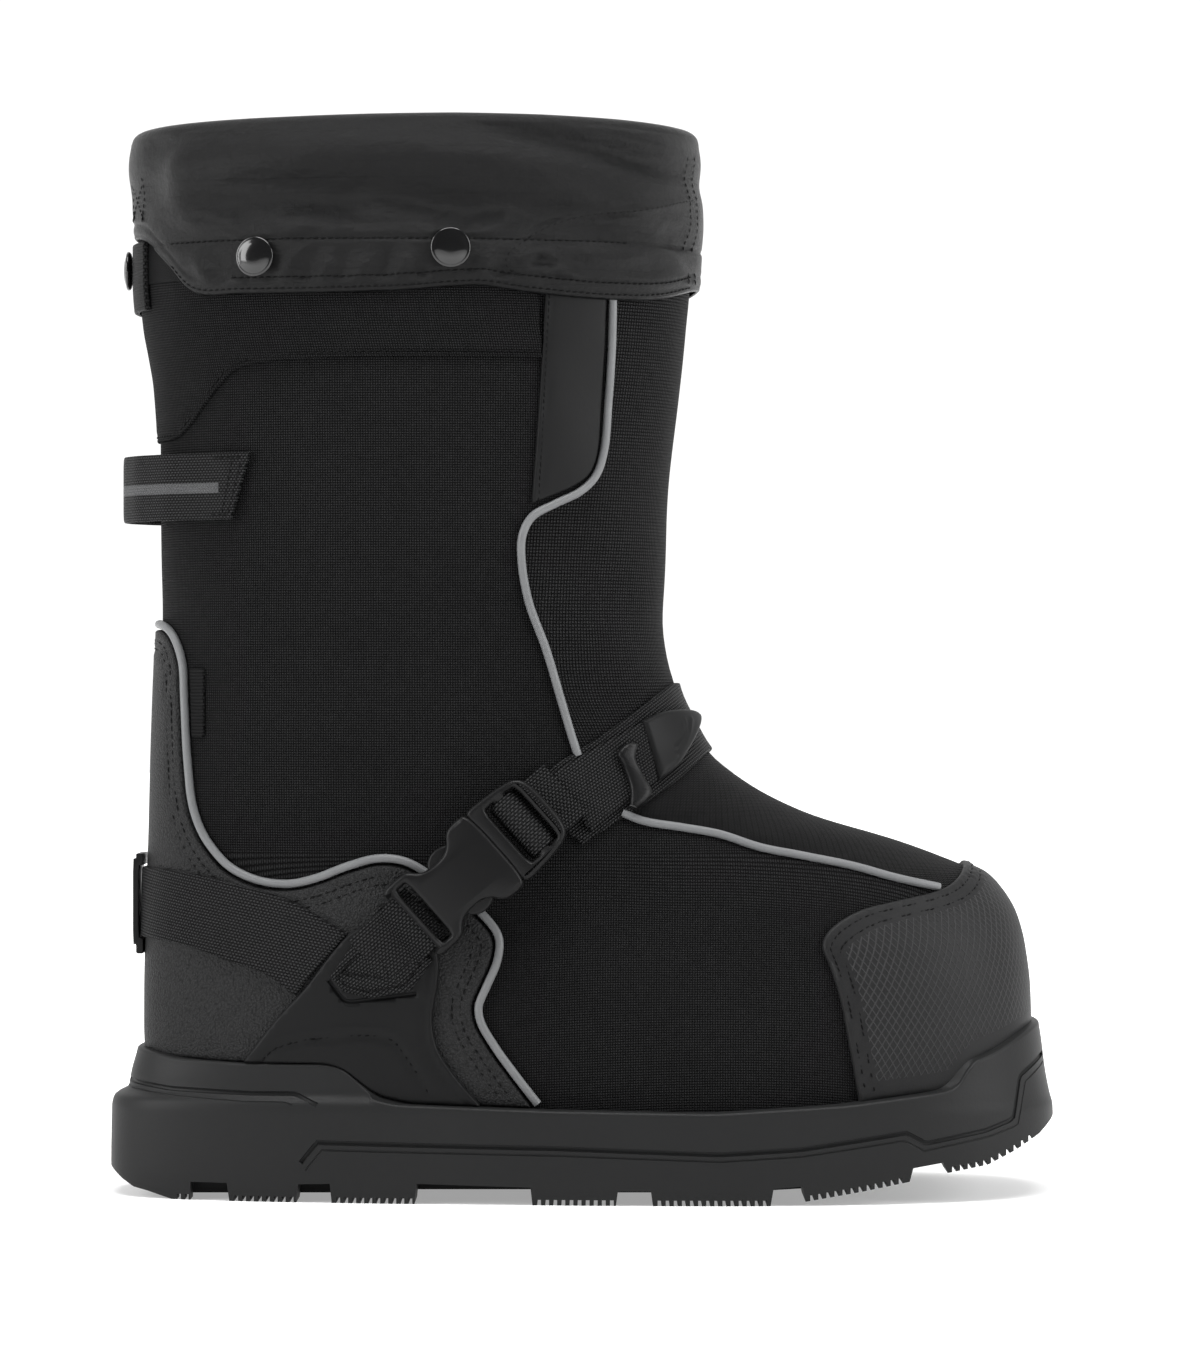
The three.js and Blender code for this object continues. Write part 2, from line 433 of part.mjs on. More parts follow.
// a channel along the middle of the tread parts the lugs of the two sides
const channelEdge = (side) => [0.100, 0.25, 0.40, 0.55, 0.70, 0.80].map((x) =>
  new THREE.Vector2(x * SHOE_LENGTH, centreLine(x * SHOE_LENGTH) - archHollow(x * SHOE_LENGTH, 0) / 2 + side * CHANNEL_WIDTH / 2));
const channelBlock = new THREE.ExtrudeGeometry(new THREE.Shape([...channelEdge(-1), ...channelEdge(1).reverse()]),
  { depth: CHANNEL_DEPTH + 5, bevelEnabled: false });
channelBlock.translate(0, 0, -5);
sole = sole.subtract(solidOf(channelBlock));
addPiece("outsole", sole, rubber);

// ---------- overlays sewn on the upper ----------
const counterSolid = overlay(COUNTER_LIFT, COUNTER_LIFT + COUNTER_THICKNESS, 0, 0.6, HEEL_LEVELS);
const counterEdge = COUNTER_EDGE.map(([x, z]) => [x, z]).filter(([x, z]) => z > soleTopAt(Math.max(0.001, x)));
const counterFoot = 0.4495;
addPiece("heel_counter", counterSolid.intersect(sideBlock([...counterEdge.map(([x, z]) => [x === 0 ? -0.02 : x, z]),
  [counterFoot, soleTopAt(counterFoot)],
  ...aboveSole(counterFoot).reverse().map(([x, z]) => [x === 0 ? -0.02 : x, z])])), leather);

const capEdge = CAP_EDGE.filter(([x, z]) => z > soleTopAt(x));
const capFoot = 0.7855;
addPiece("toe_cap", overlay(PIECE_GAP, PIECE_GAP + CAP_THICKNESS, 0, 0.4).intersect(sideBlock([
  ...capEdge.slice().reverse(), [capFoot, soleTopAt(capFoot)],
  ...SOLE_TOP.filter(([x]) => x > capFoot).map(([x, z]) => [x === 1 ? 1.02 : x, z + PIECE_GAP / SHOE_HEIGHT]),
  [1.02, 0.34]])), leather);

const yokeTop = 0.905;
const yokeSolid = overlay(PIECE_GAP, PIECE_GAP + YOKE_THICKNESS, 0.6, 1);
addPiece("yoke", yokeSolid.intersect(sideBlock([...YOKE_EDGE.map(([x, z]) => [x === 0 ? -0.02 : x, z]),
  [0.4595, yokeTop], [-0.02, yokeTop]])), fabric);
addPiece("front_patch", overlay(PIECE_GAP, PIECE_GAP + PATCH_THICKNESS, 0.5, 0.9).intersect(sideBlock(PATCH, -1)), rubber);

// ---------- pipings ----------
function pipingAlong(places, out) {
  const marks = [];
  places.forEach((place, i) => {
    const next = places[Math.min(places.length - 1, i + 1)];
    const parts = Math.max(1, Math.round(place.point.distanceTo(next.point) / 5));
    for (let k = 0; k < (i + 1 < places.length ? parts : 1); k++) {
      const turn = mix(place.turn, next.turn, k / parts), height = mix(place.height, next.height, k / parts);
      marks.push(offsetPoint(UPPER_FORM, turn, height, out + PIPING_RADIUS));
    }
  });
  const curve = new THREE.CatmullRomCurve3(marks, false, "centripetal");
  const profile = new THREE.Shape();
  for (let i = 0; i < PIPING_CORNERS; i++) {
    const angle = (2 * Math.PI * i) / PIPING_CORNERS;
    const x = Math.cos(angle) * PIPING_RADIUS, y = Math.sin(angle) * PIPING_RADIUS;
    if (i === 0) profile.moveTo(x, y); else profile.lineTo(x, y);
  }
  profile.closePath();
  const steps = Math.round(curve.getLength() / PIPING_STEP);
  return new THREE.ExtrudeGeometry(profile, { steps, bevelEnabled: false, extrudePath: curve });
}
// a line moved sideways in the side view, to its left when walked along
function beside(line, distance) {
  const across = (p, q) => {
    const dx = (q[0] - p[0]) * SHOE_LENGTH, dz = (q[1] - p[1]) * SHOE_HEIGHT, l = Math.hypot(dx, dz);
    return [-dz / l, dx / l];
  };
  return line.map(([x, z], i) => {
    const one = i > 0 ? across(line[i - 1], line[i]) : across(line[0], line[1]);
    const two = i + 1 < line.length ? across(line[i], line[i + 1]) : one;
    const mx = one[0] + two[0], mz = one[1] + two[1], l = Math.hypot(mx, mz);
    const reach = distance / Math.max(0.6, (mx * one[0] + mz * one[1]) / l);
    return [x + (mx / l) * reach / SHOE_LENGTH, z + (mz / l) * reach / SHOE_HEIGHT];
  });
}
const counterPipe = beside(COUNTER_EDGE.filter(([x, z]) => x > 0.060 && z > 0.09), PIPING_CLEARANCE);
counterPipe.unshift([0.0590, 0.5425]);
const counterWay = [...counterPipe.map(([x, z]) => locate(x, z, -1)).reverse(),
  { turn: 0.5, height: 0.5420 * SHOE_HEIGHT, point: pointOn(UPPER_FORM, 0.5, 0.5420 * SHOE_HEIGHT) },
  ...counterPipe.map(([x, z]) => locate(x, z, 1))];
addPiece("counter_piping", pipingAlong(counterWay, PIPING_LIFT), reflective);
for (const [side, word] of [[-1, "outer"], [1, "inner"]]) {
  addPiece("front_piping_" + word, pipingAlong(FRONT_PIPING.map(([x, z]) => locate(x, z, side)), PIPING_LIFT), reflective);
  addPiece("vamp_piping_" + word, pipingAlong(VAMP_PIPING.map(([x, z]) => locate(x, z, side)), PIPING_LIFT), reflective);
}

// ---------- straps round the heel and over the instep ----------
const onCounter = COUNTER_LIFT + COUNTER_THICKNESS + PIECE_GAP;
addPiece("heel_strap", overlay(onCounter, onCounter + WEB_THICKNESS, 0.15, 0.4, HEEL_LEVELS).intersect(
  sideBlock(HEEL_STRAP.map(([x, z]) => [x === 0 ? -0.02 : x, z]))), webbing);
const saddleOutline = [...SADDLE.filter(([x, z]) => z > soleTopAt(x)), [0.3985, soleTopAt(0.3985)],
  ...aboveSole(0.39).filter(([x]) => x > 0.15).reverse(), [0.149, soleTopAt(0.149)]];
const saddleSolid = overlay(onCounter, onCounter + SADDLE_THICKNESS, 0, 0.4, HEEL_LEVELS);
addPiece("saddle_outer", saddleSolid.intersect(sideBlock(saddleOutline, -1)), rubber);
addPiece("saddle_inner", saddleSolid.intersect(sideBlock(saddleOutline, 1)), rubber);
const onSaddle = onCounter + SADDLE_THICKNESS + PIECE_GAP;
addPiece("instep_strap", overlay(PIECE_GAP, PIECE_GAP + WEB_THICKNESS, 0.2, 0.65).intersect(sideBlock(STRAP_BAND)), webbing);
const onBand = PIECE_GAP * 2 + WEB_THICKNESS;
const tailSolid = overlay(onBand, onBand + WEB_THICKNESS, 0.2, 0.65).intersect(sideBlock(STRAP_TAIL, -1));
addPiece("strap_tip", overlay(onBand, onBand + TIP_THICKNESS, 0.2, 0.65).intersect(sideBlock(STRAP_TIP, -1)), rubber);
const onTail = onBand + WEB_THICKNESS + PIECE_GAP;
addPiece("strap_keeper", overlay(onTail + 0.4, onTail + 0.4 + KEEPER_THICKNESS, 0.2, 0.65)
  .intersect(sideBlock(STRAP_KEEPER, -1)), plastic);

// ---------- buckle ----------
const bothSides = (half) => [...half, ...half.slice().reverse().map(([u, w]) => [u, -w])];
const flatShape = (points) => new THREE.Shape(points.map(([u, w]) => new THREE.Vector2(u, w)));
function slab(points, low, high, windows = []) {
  const shape = flatShape(points);
  for (const window of windows) shape.holes.push(new THREE.Path(window.map(([u, w]) => new THREE.Vector2(u, w))));
  const geometry = new THREE.ExtrudeGeometry(shape, { depth: high - low, bevelEnabled: false });
  geometry.translate(0, 0, low);
  return solidOf(geometry);
}
const seat = locate(BUCKLE_SEAT[0], BUCKLE_SEAT[1], -1);
const heading = (BUCKLE_HEADING * Math.PI) / 180;
const buckleAxis = new THREE.Vector3(Math.cos(heading), 0, Math.sin(heading));
buckleAxis.y = -(buckleAxis.x * seat.normal.x + buckleAxis.z * seat.normal.z) / seat.normal.y;
buckleAxis.normalize();
const buckleAcross = new THREE.Vector3().crossVectors(seat.normal, buckleAxis).normalize();
const buckleFoot = seat.point.clone().addScaledVector(seat.normal, BUCKLE_STANDOFF)
  .addScaledVector(buckleAxis, -BUCKLE_MIDDLE);
const buckleFrame = new THREE.Matrix4().makeBasis(buckleAxis, buckleAcross, seat.normal).setPosition(buckleFoot);
function inBucklePlace(solid) {
  const geometry = geometryOf(solid);
  geometry.applyMatrix4(buckleFrame);
  return geometry;
}
const armLow = (SOCKET_THICKNESS - PRONG_THICKNESS) / 2, armHigh = armLow + PRONG_THICKNESS;
const channel = [[16.2, -14.4], [16.2, 14.4], [46, 14.4], [46, -14.4]];
let socket = slab(bothSides(SOCKET), 0, SOCKET_THICKNESS, [bothSides(SOCKET_SLOT).reverse()]);
socket = socket.subtract(slab(channel, armLow - PIECE_GAP, armHigh + PIECE_GAP));
socket = socket.subtract(slab([[-1, 13.2], [6, 13.2], [6, -13.2], [-1, -13.2]], SOCKET_BAR, SOCKET_THICKNESS + 1));
addPiece("buckle_socket", inBucklePlace(socket), plastic);
const arms = slab(PRONG_ARM, armLow, armHigh).add(slab(PRONG_ARM.map(([u, w]) => [u, -w]).reverse(), armLow, armHigh));
const prongTop = SOCKET_THICKNESS - 0.4;
const prong = slab(bothSides(PRONG_FRAME), armLow - 0.6, prongTop,
  [bothSides(PRONG_SLOT_NEAR).reverse(), bothSides(PRONG_SLOT_FAR).reverse()])
  .subtract(slab(bothSides([[36, 17.4], [42.4, 17.4], [44.6, 8]]), -1, SOCKET_THICKNESS + 1))
  .subtract(slab([[50, 13.2], [62, 13.2], [62, -13.2], [50, -13.2]], PRONG_BAR, SOCKET_THICKNESS + 1))
  .subtract(slab([[60, 12.9], [72, 12.9], [72, -12.9], [60, -12.9]], -1, PRONG_END_LIFT)).add(arms);
addPiece("buckle_prong", inBucklePlace(prong), plastic);
// a strap in the plane of the buckle: points along the axis and their height, swept across the strap
function strapThrough(line, across) {
  const under = line.map(([u, h]) => new THREE.Vector2(u, h));
  const over = under.map((p, i) => {
    const a = under[Math.max(0, i - 1)], b = under[Math.min(under.length - 1, i + 1)];
    const d = b.clone().sub(a).normalize();
    return new THREE.Vector2(p.x - d.y * WEB_THICKNESS, p.y + d.x * WEB_THICKNESS);
  });
  const shape = new THREE.Shape([...under, ...over.reverse()]);
  const geometry = new THREE.ExtrudeGeometry(shape, { depth: WEB_WIDTH, bevelEnabled: false });
  geometry.rotateX(Math.PI / 2);
  geometry.translate(0, WEB_WIDTH / 2 + across, 0);
  geometry.applyMatrix4(buckleFrame);
  return solidOf(geometry);
}
// height of an offset of the upper above the underside of the buckle, at a place along its axis
function surfaceUnder(u, w, out) {
  const p = buckleFoot.clone().addScaledVector(buckleAxis, u).addScaledVector(buckleAcross, w);
  const place = locate(p.x / SHOE_LENGTH, p.z / SHOE_HEIGHT, -1);
  return place.point.addScaledVector(place.normal, out).sub(buckleFoot).dot(seat.normal);
}
const saddleUnder = (u) => Math.max(...[-12, 0, 12].map((w) => surfaceUnder(u, w, onSaddle))) + 0.1;
const tabLine = [[-34, saddleUnder(-34)], [-24, saddleUnder(-24)], [-14, saddleUnder(-14)], [-6, saddleUnder(-6)],
  [-1.4, SOCKET_BAR - 0.6], [0.4, SOCKET_BAR + PIECE_GAP], [5.2, SOCKET_BAR + PIECE_GAP], [7.2, SOCKET_BAR - 1]];
addPiece("anchor_tab", strapThrough(tabLine, -0.3).intersect(sideBlock(ANCHOR_TAB, -1)), webbing);
const bandUnder = (u) => Math.max(...[-12, 0, 12].map((w) => surfaceUnder(u, w, onBand))) + 0.1;
const tailLine = [[51.4, 2.4], [53, PRONG_BAR + PIECE_GAP], [59, PRONG_BAR + PIECE_GAP],
  [62, Math.max(bandUnder(62), 1.2)], [66, bandUnder(66)], [70, bandUnder(70)], [76, bandUnder(76)]];
addPiece("strap_tail", tailSolid.add(strapThrough(tailLine, 0)), webbing);

// ---------- cuff ----------
function sweptRound(wall) {
  const positions = [], indices = [], corners = wall.length;
  for (let i = 0; i < AROUND; i++)
    for (const { out, z } of wall) {
      const height = z * SHOE_HEIGHT, p = pointOn(UPPER_FORM, i / AROUND, Math.min(height, SHOE_HEIGHT - 2));
      const n = normalOn(UPPER_FORM, i / AROUND, Math.min(height, SHOE_HEIGHT - 2));
      n.z = 0;
      n.normalize();
      p.addScaledVector(n, out);
      positions.push(p.x, p.y, height);
    }
  for (let i = 0; i < AROUND; i++)
    for (let k = 0; k < corners; k++) {
      const a = i * corners + k, b = i * corners + ((k + 1) % corners);
      const c = ((i + 1) % AROUND) * corners + k, d = ((i + 1) % AROUND) * corners + ((k + 1) % corners);
      indices.push(a, d, c, a, b, d);
    }
  return toManifold(positions, indices);
}
const belowHem = sideBlock([...CUFF_HEM.map(([x, z]) => [x === 0 ? -0.05 : x, z]), [0.70, 0.70], [-0.05, 0.70]]);
const cuff = sweptRound(CUFF_WALL).subtract(belowHem);
addPiece("cuff", cuff, nylon);

// ---------- tape, snaps, label and pull loop ----------
function buttonAt(place, out) {
  const profile = [[0, 0], [SNAP_BASE_RADIUS, 0], [SNAP_RADIUS, 0.8], [SNAP_RADIUS, 1.5],
    [SNAP_RADIUS * 0.75, SNAP_HEIGHT * 0.86], [0, SNAP_HEIGHT]]
    .map(([r, h]) => new THREE.Vector2(r, h));
  const geometry = new THREE.LatheGeometry(profile, SNAP_FACETS);
  geometry.rotateX(Math.PI / 2);
  const normal = place.normal.clone();
  normal.z = 0;
  normal.normalize();
  const turn = new THREE.Quaternion().setFromUnitVectors(new THREE.Vector3(0, 0, 1), normal);
  geometry.applyQuaternion(turn);
  const at = place.point.clone().addScaledVector(normal, out);
  geometry.translate(at.x, at.y, at.z);
  return solidOf(geometry);
}
const onCuff = CUFF_STANDOFF + CUFF_THICKNESS + 0.7 + PIECE_GAP;
for (const [side, word] of [[-1, "outer"], [1, "inner"]])
  for (const [x, z, end] of [[0.170, 0.868, "rear"], [0.364, 0.875, "front"]])
    addPiece("snap_" + word + "_" + end, buttonAt(locate(x, z, side), onCuff), gloss);
const onYoke = PIECE_GAP * 2 + YOKE_THICKNESS;
const tapeOuter = overlay(onYoke, onYoke + WEB_THICKNESS, 0.75, 1);
addPiece("back_tape", tapeOuter.intersect(sideBlock([[-0.02, 0.826], [0.0505, 0.826], [0.0505, 0.8900], [-0.02, 0.8900]])), webbing);
const backPlace = { point: pointOn(UPPER_FORM, 0.5, 0.867 * SHOE_HEIGHT), normal: normalOn(UPPER_FORM, 0.5, 0.867 * SHOE_HEIGHT) };
addPiece("snap_back", buttonAt(backPlace, onYoke + WEB_THICKNESS + PIECE_GAP), gloss);
addPiece("side_label", overlay(PIECE_GAP, PIECE_GAP + LABEL_THICKNESS, 0.4, 0.55).intersect(
  sideBlock([[0.0920, 0.492], [0.107, 0.492], [0.107, 0.428], [0.0940, 0.428]], -1)), webbing);

const loopTop = 0.6905, loopLow = loopTop - LOOP_WEBBING / SHOE_HEIGHT;
function loopLine(out) {
  const height = loopTop * SHOE_HEIGHT, line = [];
  const onShaft = [0.163, 0.145, 0.127, 0.109].map((x) => locate(x, loopTop, -1));
  for (const place of onShaft) {
    const n = place.normal.clone().setZ(0).normalize();
    line.push(new THREE.Vector2(place.point.x + n.x * out, place.point.y + n.y * out));
  }
  const tip = sectionAt(UPPER, loopTop).back * SHOE_LENGTH - LOOP_REACH;
  const thick = out - PIECE_GAP;
  line.push(new THREE.Vector2(24 - thick * 0.6, -33.5 - thick * 0.8), new THREE.Vector2(12.5 - thick * 0.8, -20.5 - thick * 0.6),
    new THREE.Vector2(tip + WEB_THICKNESS + 0.9 - thick, -9), new THREE.Vector2(tip + WEB_THICKNESS - thick, 0));
  const mirrored = line.slice(0, -1).reverse().map((p) => new THREE.Vector2(p.x, -p.y));
  return [...line, ...mirrored];
}
const loopShape = new THREE.Shape([...loopLine(PIECE_GAP), ...loopLine(PIECE_GAP + WEB_THICKNESS).reverse()]);
const loopGeometry = new THREE.ExtrudeGeometry(loopShape, { depth: LOOP_WEBBING, bevelEnabled: false });
loopGeometry.translate(0, 0, loopLow * SHOE_HEIGHT);
const loopEnd = sideBlock([[-0.05, 0.60], [0.1420, 0.60], [0.1440, loopLow], [0.1585, loopTop], [0.160, 0.72], [-0.05, 0.72]]);
addPiece("pull_loop", solidOf(loopGeometry).intersect(loopEnd), webbing);

// ---------- back keeper of the heel strap ----------
const strapMiddle = 0.273 * SHOE_HEIGHT, strapHalf = 0.032 * SHOE_HEIGHT + 3 * PIECE_GAP;
const strapBack = sectionAt(UPPER, 0.273).back * SHOE_LENGTH - onCounter - WEB_THICKNESS - 3 * PIECE_GAP;
const counterBack = strapBack + WEB_THICKNESS;
const keeperShape = new THREE.Shape([[counterBack, -strapHalf - 6], [strapBack - 1, -strapHalf - 6],
  [strapBack - 1, -strapHalf - 2.4], [strapBack - KEEPER_PLATE, -strapHalf - 2.4], [strapBack - KEEPER_PLATE, strapHalf + 2.4],
  [strapBack - 1, strapHalf + 2.4], [strapBack - 1, strapHalf + 4.4], [counterBack, strapHalf + 4.4],
  [counterBack, strapHalf], [strapBack, strapHalf], [strapBack, -strapHalf], [counterBack, -strapHalf]]
  .map(([x, z]) => new THREE.Vector2(x, z)));
const keeper = new THREE.ExtrudeGeometry(keeperShape, { depth: KEEPER_DEPTH, bevelEnabled: false });
keeper.rotateX(Math.PI / 2);
keeper.translate(0, KEEPER_DEPTH / 2, strapMiddle);
addPiece("back_keeper", solidOf(keeper), plastic);

export default overshoe;
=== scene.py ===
# %% [markdown]
# A winter overshoe for the right foot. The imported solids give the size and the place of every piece.
# This script loads them as a fixed frame, and then models each visible piece finely around that frame:
# the woven shell, the sewn panels with their stitches, the folded cuff, the straps and the lugged sole.

# %% load the frame
import math
import bpy
import numpy as np
from mathutils import Matrix, Vector


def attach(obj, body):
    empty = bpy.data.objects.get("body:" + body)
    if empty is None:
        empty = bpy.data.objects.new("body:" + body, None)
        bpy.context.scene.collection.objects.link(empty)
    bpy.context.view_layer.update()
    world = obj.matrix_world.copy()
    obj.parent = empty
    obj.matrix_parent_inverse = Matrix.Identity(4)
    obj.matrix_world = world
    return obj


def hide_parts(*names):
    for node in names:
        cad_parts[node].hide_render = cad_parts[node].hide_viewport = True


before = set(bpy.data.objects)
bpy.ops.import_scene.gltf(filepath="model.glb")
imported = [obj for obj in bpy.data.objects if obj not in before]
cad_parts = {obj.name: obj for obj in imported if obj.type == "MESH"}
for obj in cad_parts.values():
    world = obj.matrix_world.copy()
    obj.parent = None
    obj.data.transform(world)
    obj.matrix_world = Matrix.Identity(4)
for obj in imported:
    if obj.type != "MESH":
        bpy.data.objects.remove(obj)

bpy.context.view_layer.update()

# %% [markdown]
# A shoe is built over a last, the smooth form inside it. Everything on this overshoe follows one, so the last
# comes first. It is a stack of level sections, each given by where it ends behind and in front, how wide it is
# at both, and how square it is. Sizes are in millimetres here and become metres when a mesh is made.
# In the tables x is a share of the length from the heel, z a share of the height from the floor.

# %% sections of the last
LENGTH, HEIGHT, UPPER_WIDTH, SOLE_WIDTH, RAND_HEIGHT = 360.0, 405.0, 128.0, 139.0, 66.0
ORIGIN_X, ORIGIN_Y = 180.0, 1.5
TOE_SWING, ARCH_HOLLOW = 7.0, 5.0

# height, back end, front end, half width behind, half width in front, squareness behind, in front
UPPER = [
    (0.0600, 0.0450, 0.9580, 0.352, 0.535, 3.0, 2.7), (0.1410, 0.0436, 0.9706, 0.367, 0.555, 3.0, 2.7),
    (0.1880, 0.0436, 0.9695, 0.377, 0.550, 2.9, 2.65), (0.2306, 0.0444, 0.9640, 0.387, 0.530, 2.8, 2.6),
    (0.2590, 0.0452, 0.9556, 0.394, 0.500, 2.7, 2.5), (0.2870, 0.0460, 0.9356, 0.400, 0.465, 2.6, 2.4),
    (0.3015, 0.0465, 0.9150, 0.405, 0.445, 2.55, 2.3), (0.3156, 0.0470, 0.8778, 0.410, 0.427, 2.5, 2.2),
    (0.3300, 0.0476, 0.8333, 0.415, 0.412, 2.45, 2.15), (0.3580, 0.0485, 0.7356, 0.425, 0.402, 2.4, 2.1),
    (0.3864, 0.0492, 0.6740, 0.435, 0.400, 2.35, 2.1), (0.4148, 0.0500, 0.6333, 0.445, 0.410, 2.3, 2.1),
    (0.4430, 0.0510, 0.6140, 0.455, 0.420, 2.3, 2.1), (0.4716, 0.0520, 0.5980, 0.462, 0.432, 2.25, 2.1),
    (0.5000, 0.0532, 0.5908, 0.470, 0.442, 2.2, 2.1), (0.5425, 0.0545, 0.5878, 0.480, 0.455, 2.2, 2.1),
    (0.6270, 0.0515, 0.5897, 0.500, 0.480, 2.2, 2.1), (0.6980, 0.0525, 0.5970, 0.512, 0.492, 2.2, 2.1),
    (0.7550, 0.0489, 0.6036, 0.522, 0.502, 2.2, 2.1), (0.7830, 0.0439, 0.6070, 0.527, 0.506, 2.2, 2.1),
    (0.8116, 0.0380, 0.6100, 0.532, 0.510, 2.2, 2.1), (0.8543, 0.0340, 0.6139, 0.538, 0.515, 2.2, 2.1),
    (0.9280, 0.0340, 0.6125, 0.542, 0.520, 2.2, 2.1), (1.0000, 0.0370, 0.6085, 0.545, 0.520, 2.2, 2.1)]
# the same columns for the wall of the sole, with heights as shares of the rand
SOLE = [
    (0.000, 0.0030, 1.0005, 0.376, 0.536, 3.0, 2.7), (0.170, 0.0008, 1.0008, 0.392, 0.546, 3.0, 2.7),
    (0.500, 0.0016, 0.9994, 0.398, 0.552, 3.0, 2.7), (0.560, 0.0042, 0.9966, 0.394, 0.550, 3.0, 2.7),
    (0.610, 0.0190, 0.9946, 0.377, 0.547, 3.0, 2.7), (0.700, 0.0222, 0.9915, 0.372, 0.543, 3.0, 2.7),
    (0.860, 0.0297, 0.9878, 0.364, 0.538, 3.0, 2.7), (1.000, 0.0325, 0.9840, 0.360, 0.534, 3.0, 2.7)]


def ease(t):
    t = np.clip(t, 0, 1)
    return t * t * (3 - 2 * t)


def sections_at(table, tall, heights):
    """The columns of the table at these heights, on a smooth curve that never overshoots."""
    rows = np.array(table)
    z, values = rows[:, 0] * tall, rows[:, 1:]
    step = np.diff(z)[:, None]
    slope = np.diff(values, axis=0) / step
    left, right = slope[:-1], slope[1:]
    same_way = left * right > 0
    inner = np.where(same_way, 2 * left * right / np.where(same_way, left + right, 1), 0)
    tangent = np.vstack([slope[:1], inner, slope[-1:]])
    i = np.clip(np.searchsorted(z, heights, side="right") - 1, 0, len(z) - 2)
    t = np.clip((heights - z[i]) / step[i, 0], 0, 1)[:, None]
    return ((2 * t**3 - 3 * t**2 + 1) * values[i] + (t**3 - 2 * t**2 + t) * step[i] * tangent[i]
            + (3 * t**2 - 2 * t**3) * values[i + 1] + (t**3 - t**2) * step[i] * tangent[i + 1])


# %% the last as a fine net of points
class Last:
    """Rows of points round the form. turn is 0 at the front, 0.5 at the back, below 0.5 on the outer side."""

    def __init__(self, table, tall, wide, heights, around=240):
        self.heights = np.array(heights, float)
        angle = np.linspace(0, math.pi, 721)
        cosine, sine = np.cos(angle), np.clip(np.sin(angle), 0, 1)
        back, front, rear, fore, back_power, front_power = np.split(
            sections_at(table, tall, self.heights), 6, axis=1)
        power = np.where(cosine[None, :] >= 0, front_power, back_power)
        along = np.sign(cosine) * np.abs(cosine) ** (2 / power)
        across = sine[None, :] ** (2 / power)
        across[:, [0, -1]] = 0
        x = LENGTH * ((front + back) / 2 + along * (front - back) / 2)
        half = (rear + (fore - rear) * ease((1 + along) / 2)) * wide * across
        t = (x / LENGTH - 0.42) / 0.24
        low = 1 - ease(self.heights[:, None] / (0.3 * HEIGHT))
        hollow = np.where(np.abs(t) > 1, 0, ARCH_HOLLOW * (1 - t * t) ** 2 * low) * across
        middle = TOE_SWING * ease((x / LENGTH - 0.4) / 0.75)
        sides = []
        self.girth = []
        for side in (-1, 1):
            y = middle + side * (half - (hollow if side > 0 else 0))
            run = np.hypot(np.diff(x, axis=1), np.diff(y, axis=1)).cumsum(axis=1)
            run = np.hstack([np.zeros((len(run), 1)), run])
            self.girth.append(run[:, -1])
            wanted = np.linspace(0, 1, around + 1)
            sides.append(np.array([[np.interp(wanted * r[-1], r, xs), np.interp(wanted * r[-1], r, ys)]
                                   for r, xs, ys in zip(run, x, y)]))
        ring = np.concatenate([sides[0], sides[1][:, :, -2:0:-1]], axis=2)
        z = np.broadcast_to(self.heights[:, None], ring[:, 0].shape)
        self.net = np.stack([ring[:, 0], ring[:, 1], z], axis=2)
        self.columns = self.net.shape[1]
        ahead, behind = np.roll(self.net, -1, axis=1), np.roll(self.net, 1, axis=1)
        upward = np.gradient(self.net, self.heights, axis=0)
        normal = np.cross(upward, ahead - behind)
        self.normals = normal / np.linalg.norm(normal, axis=2, keepdims=True)

    def spot(self, turn, z, out=0.0):
        """Points at these turns and heights, moved out along the normal."""
        turn, z = np.broadcast_arrays(np.asarray(turn, float), np.asarray(z, float))
        column, row = (turn % 1) * self.columns, np.interp(z, self.heights, np.arange(len(self.heights)))
        c0, r0 = np.floor(column).astype(int), np.minimum(np.floor(row).astype(int), len(self.heights) - 2)
        fc, fr = (column - c0)[..., None], (row - r0)[..., None]
        c1, c0, r1 = (c0 + 1) % self.columns, c0 % self.columns, r0 + 1

        def blend(grid):
            return ((grid[r0, c0] * (1 - fc) + grid[r0, c1] * fc) * (1 - fr)
                    + (grid[r1, c0] * (1 - fc) + grid[r1, c1] * fc) * fr)
        normal = blend(self.normals)
        normal /= np.linalg.norm(normal, axis=-1, keepdims=True)
        return blend(self.net) + normal * np.asarray(out, float)[..., None], normal

    def turn_at(self, x, z, side):
        """The turn of what is seen at x, z from one side, in mm from the heel and from the floor."""
        found = []
        half = self.columns // 2
        for px, pz in zip(np.atleast_1d(x), np.atleast_1d(z)):
            row = np.interp(pz, self.heights, np.arange(len(self.heights)))
            r = min(int(row), len(self.heights) - 2)
            xs = self.net[r, :half + 1, 0] * (1 - (row - r)) + self.net[r + 1, :half + 1, 0] * (row - r)
            share = np.interp(px, xs[::-1], np.linspace(0.5, 0, half + 1))
            found.append(share if side < 0 else 1 - share)
        return np.array(found)


upper_heights = np.unique(np.concatenate([np.arange(24, 404, 1.5), np.arange(112, 158, 0.3), [405.0]]))
upper_last = Last(UPPER, HEIGHT, UPPER_WIDTH, upper_heights)
print("upper last:", upper_last.net.shape, "girth at the collar", round(float(upper_last.girth[0][-1] * 2)), "mm")
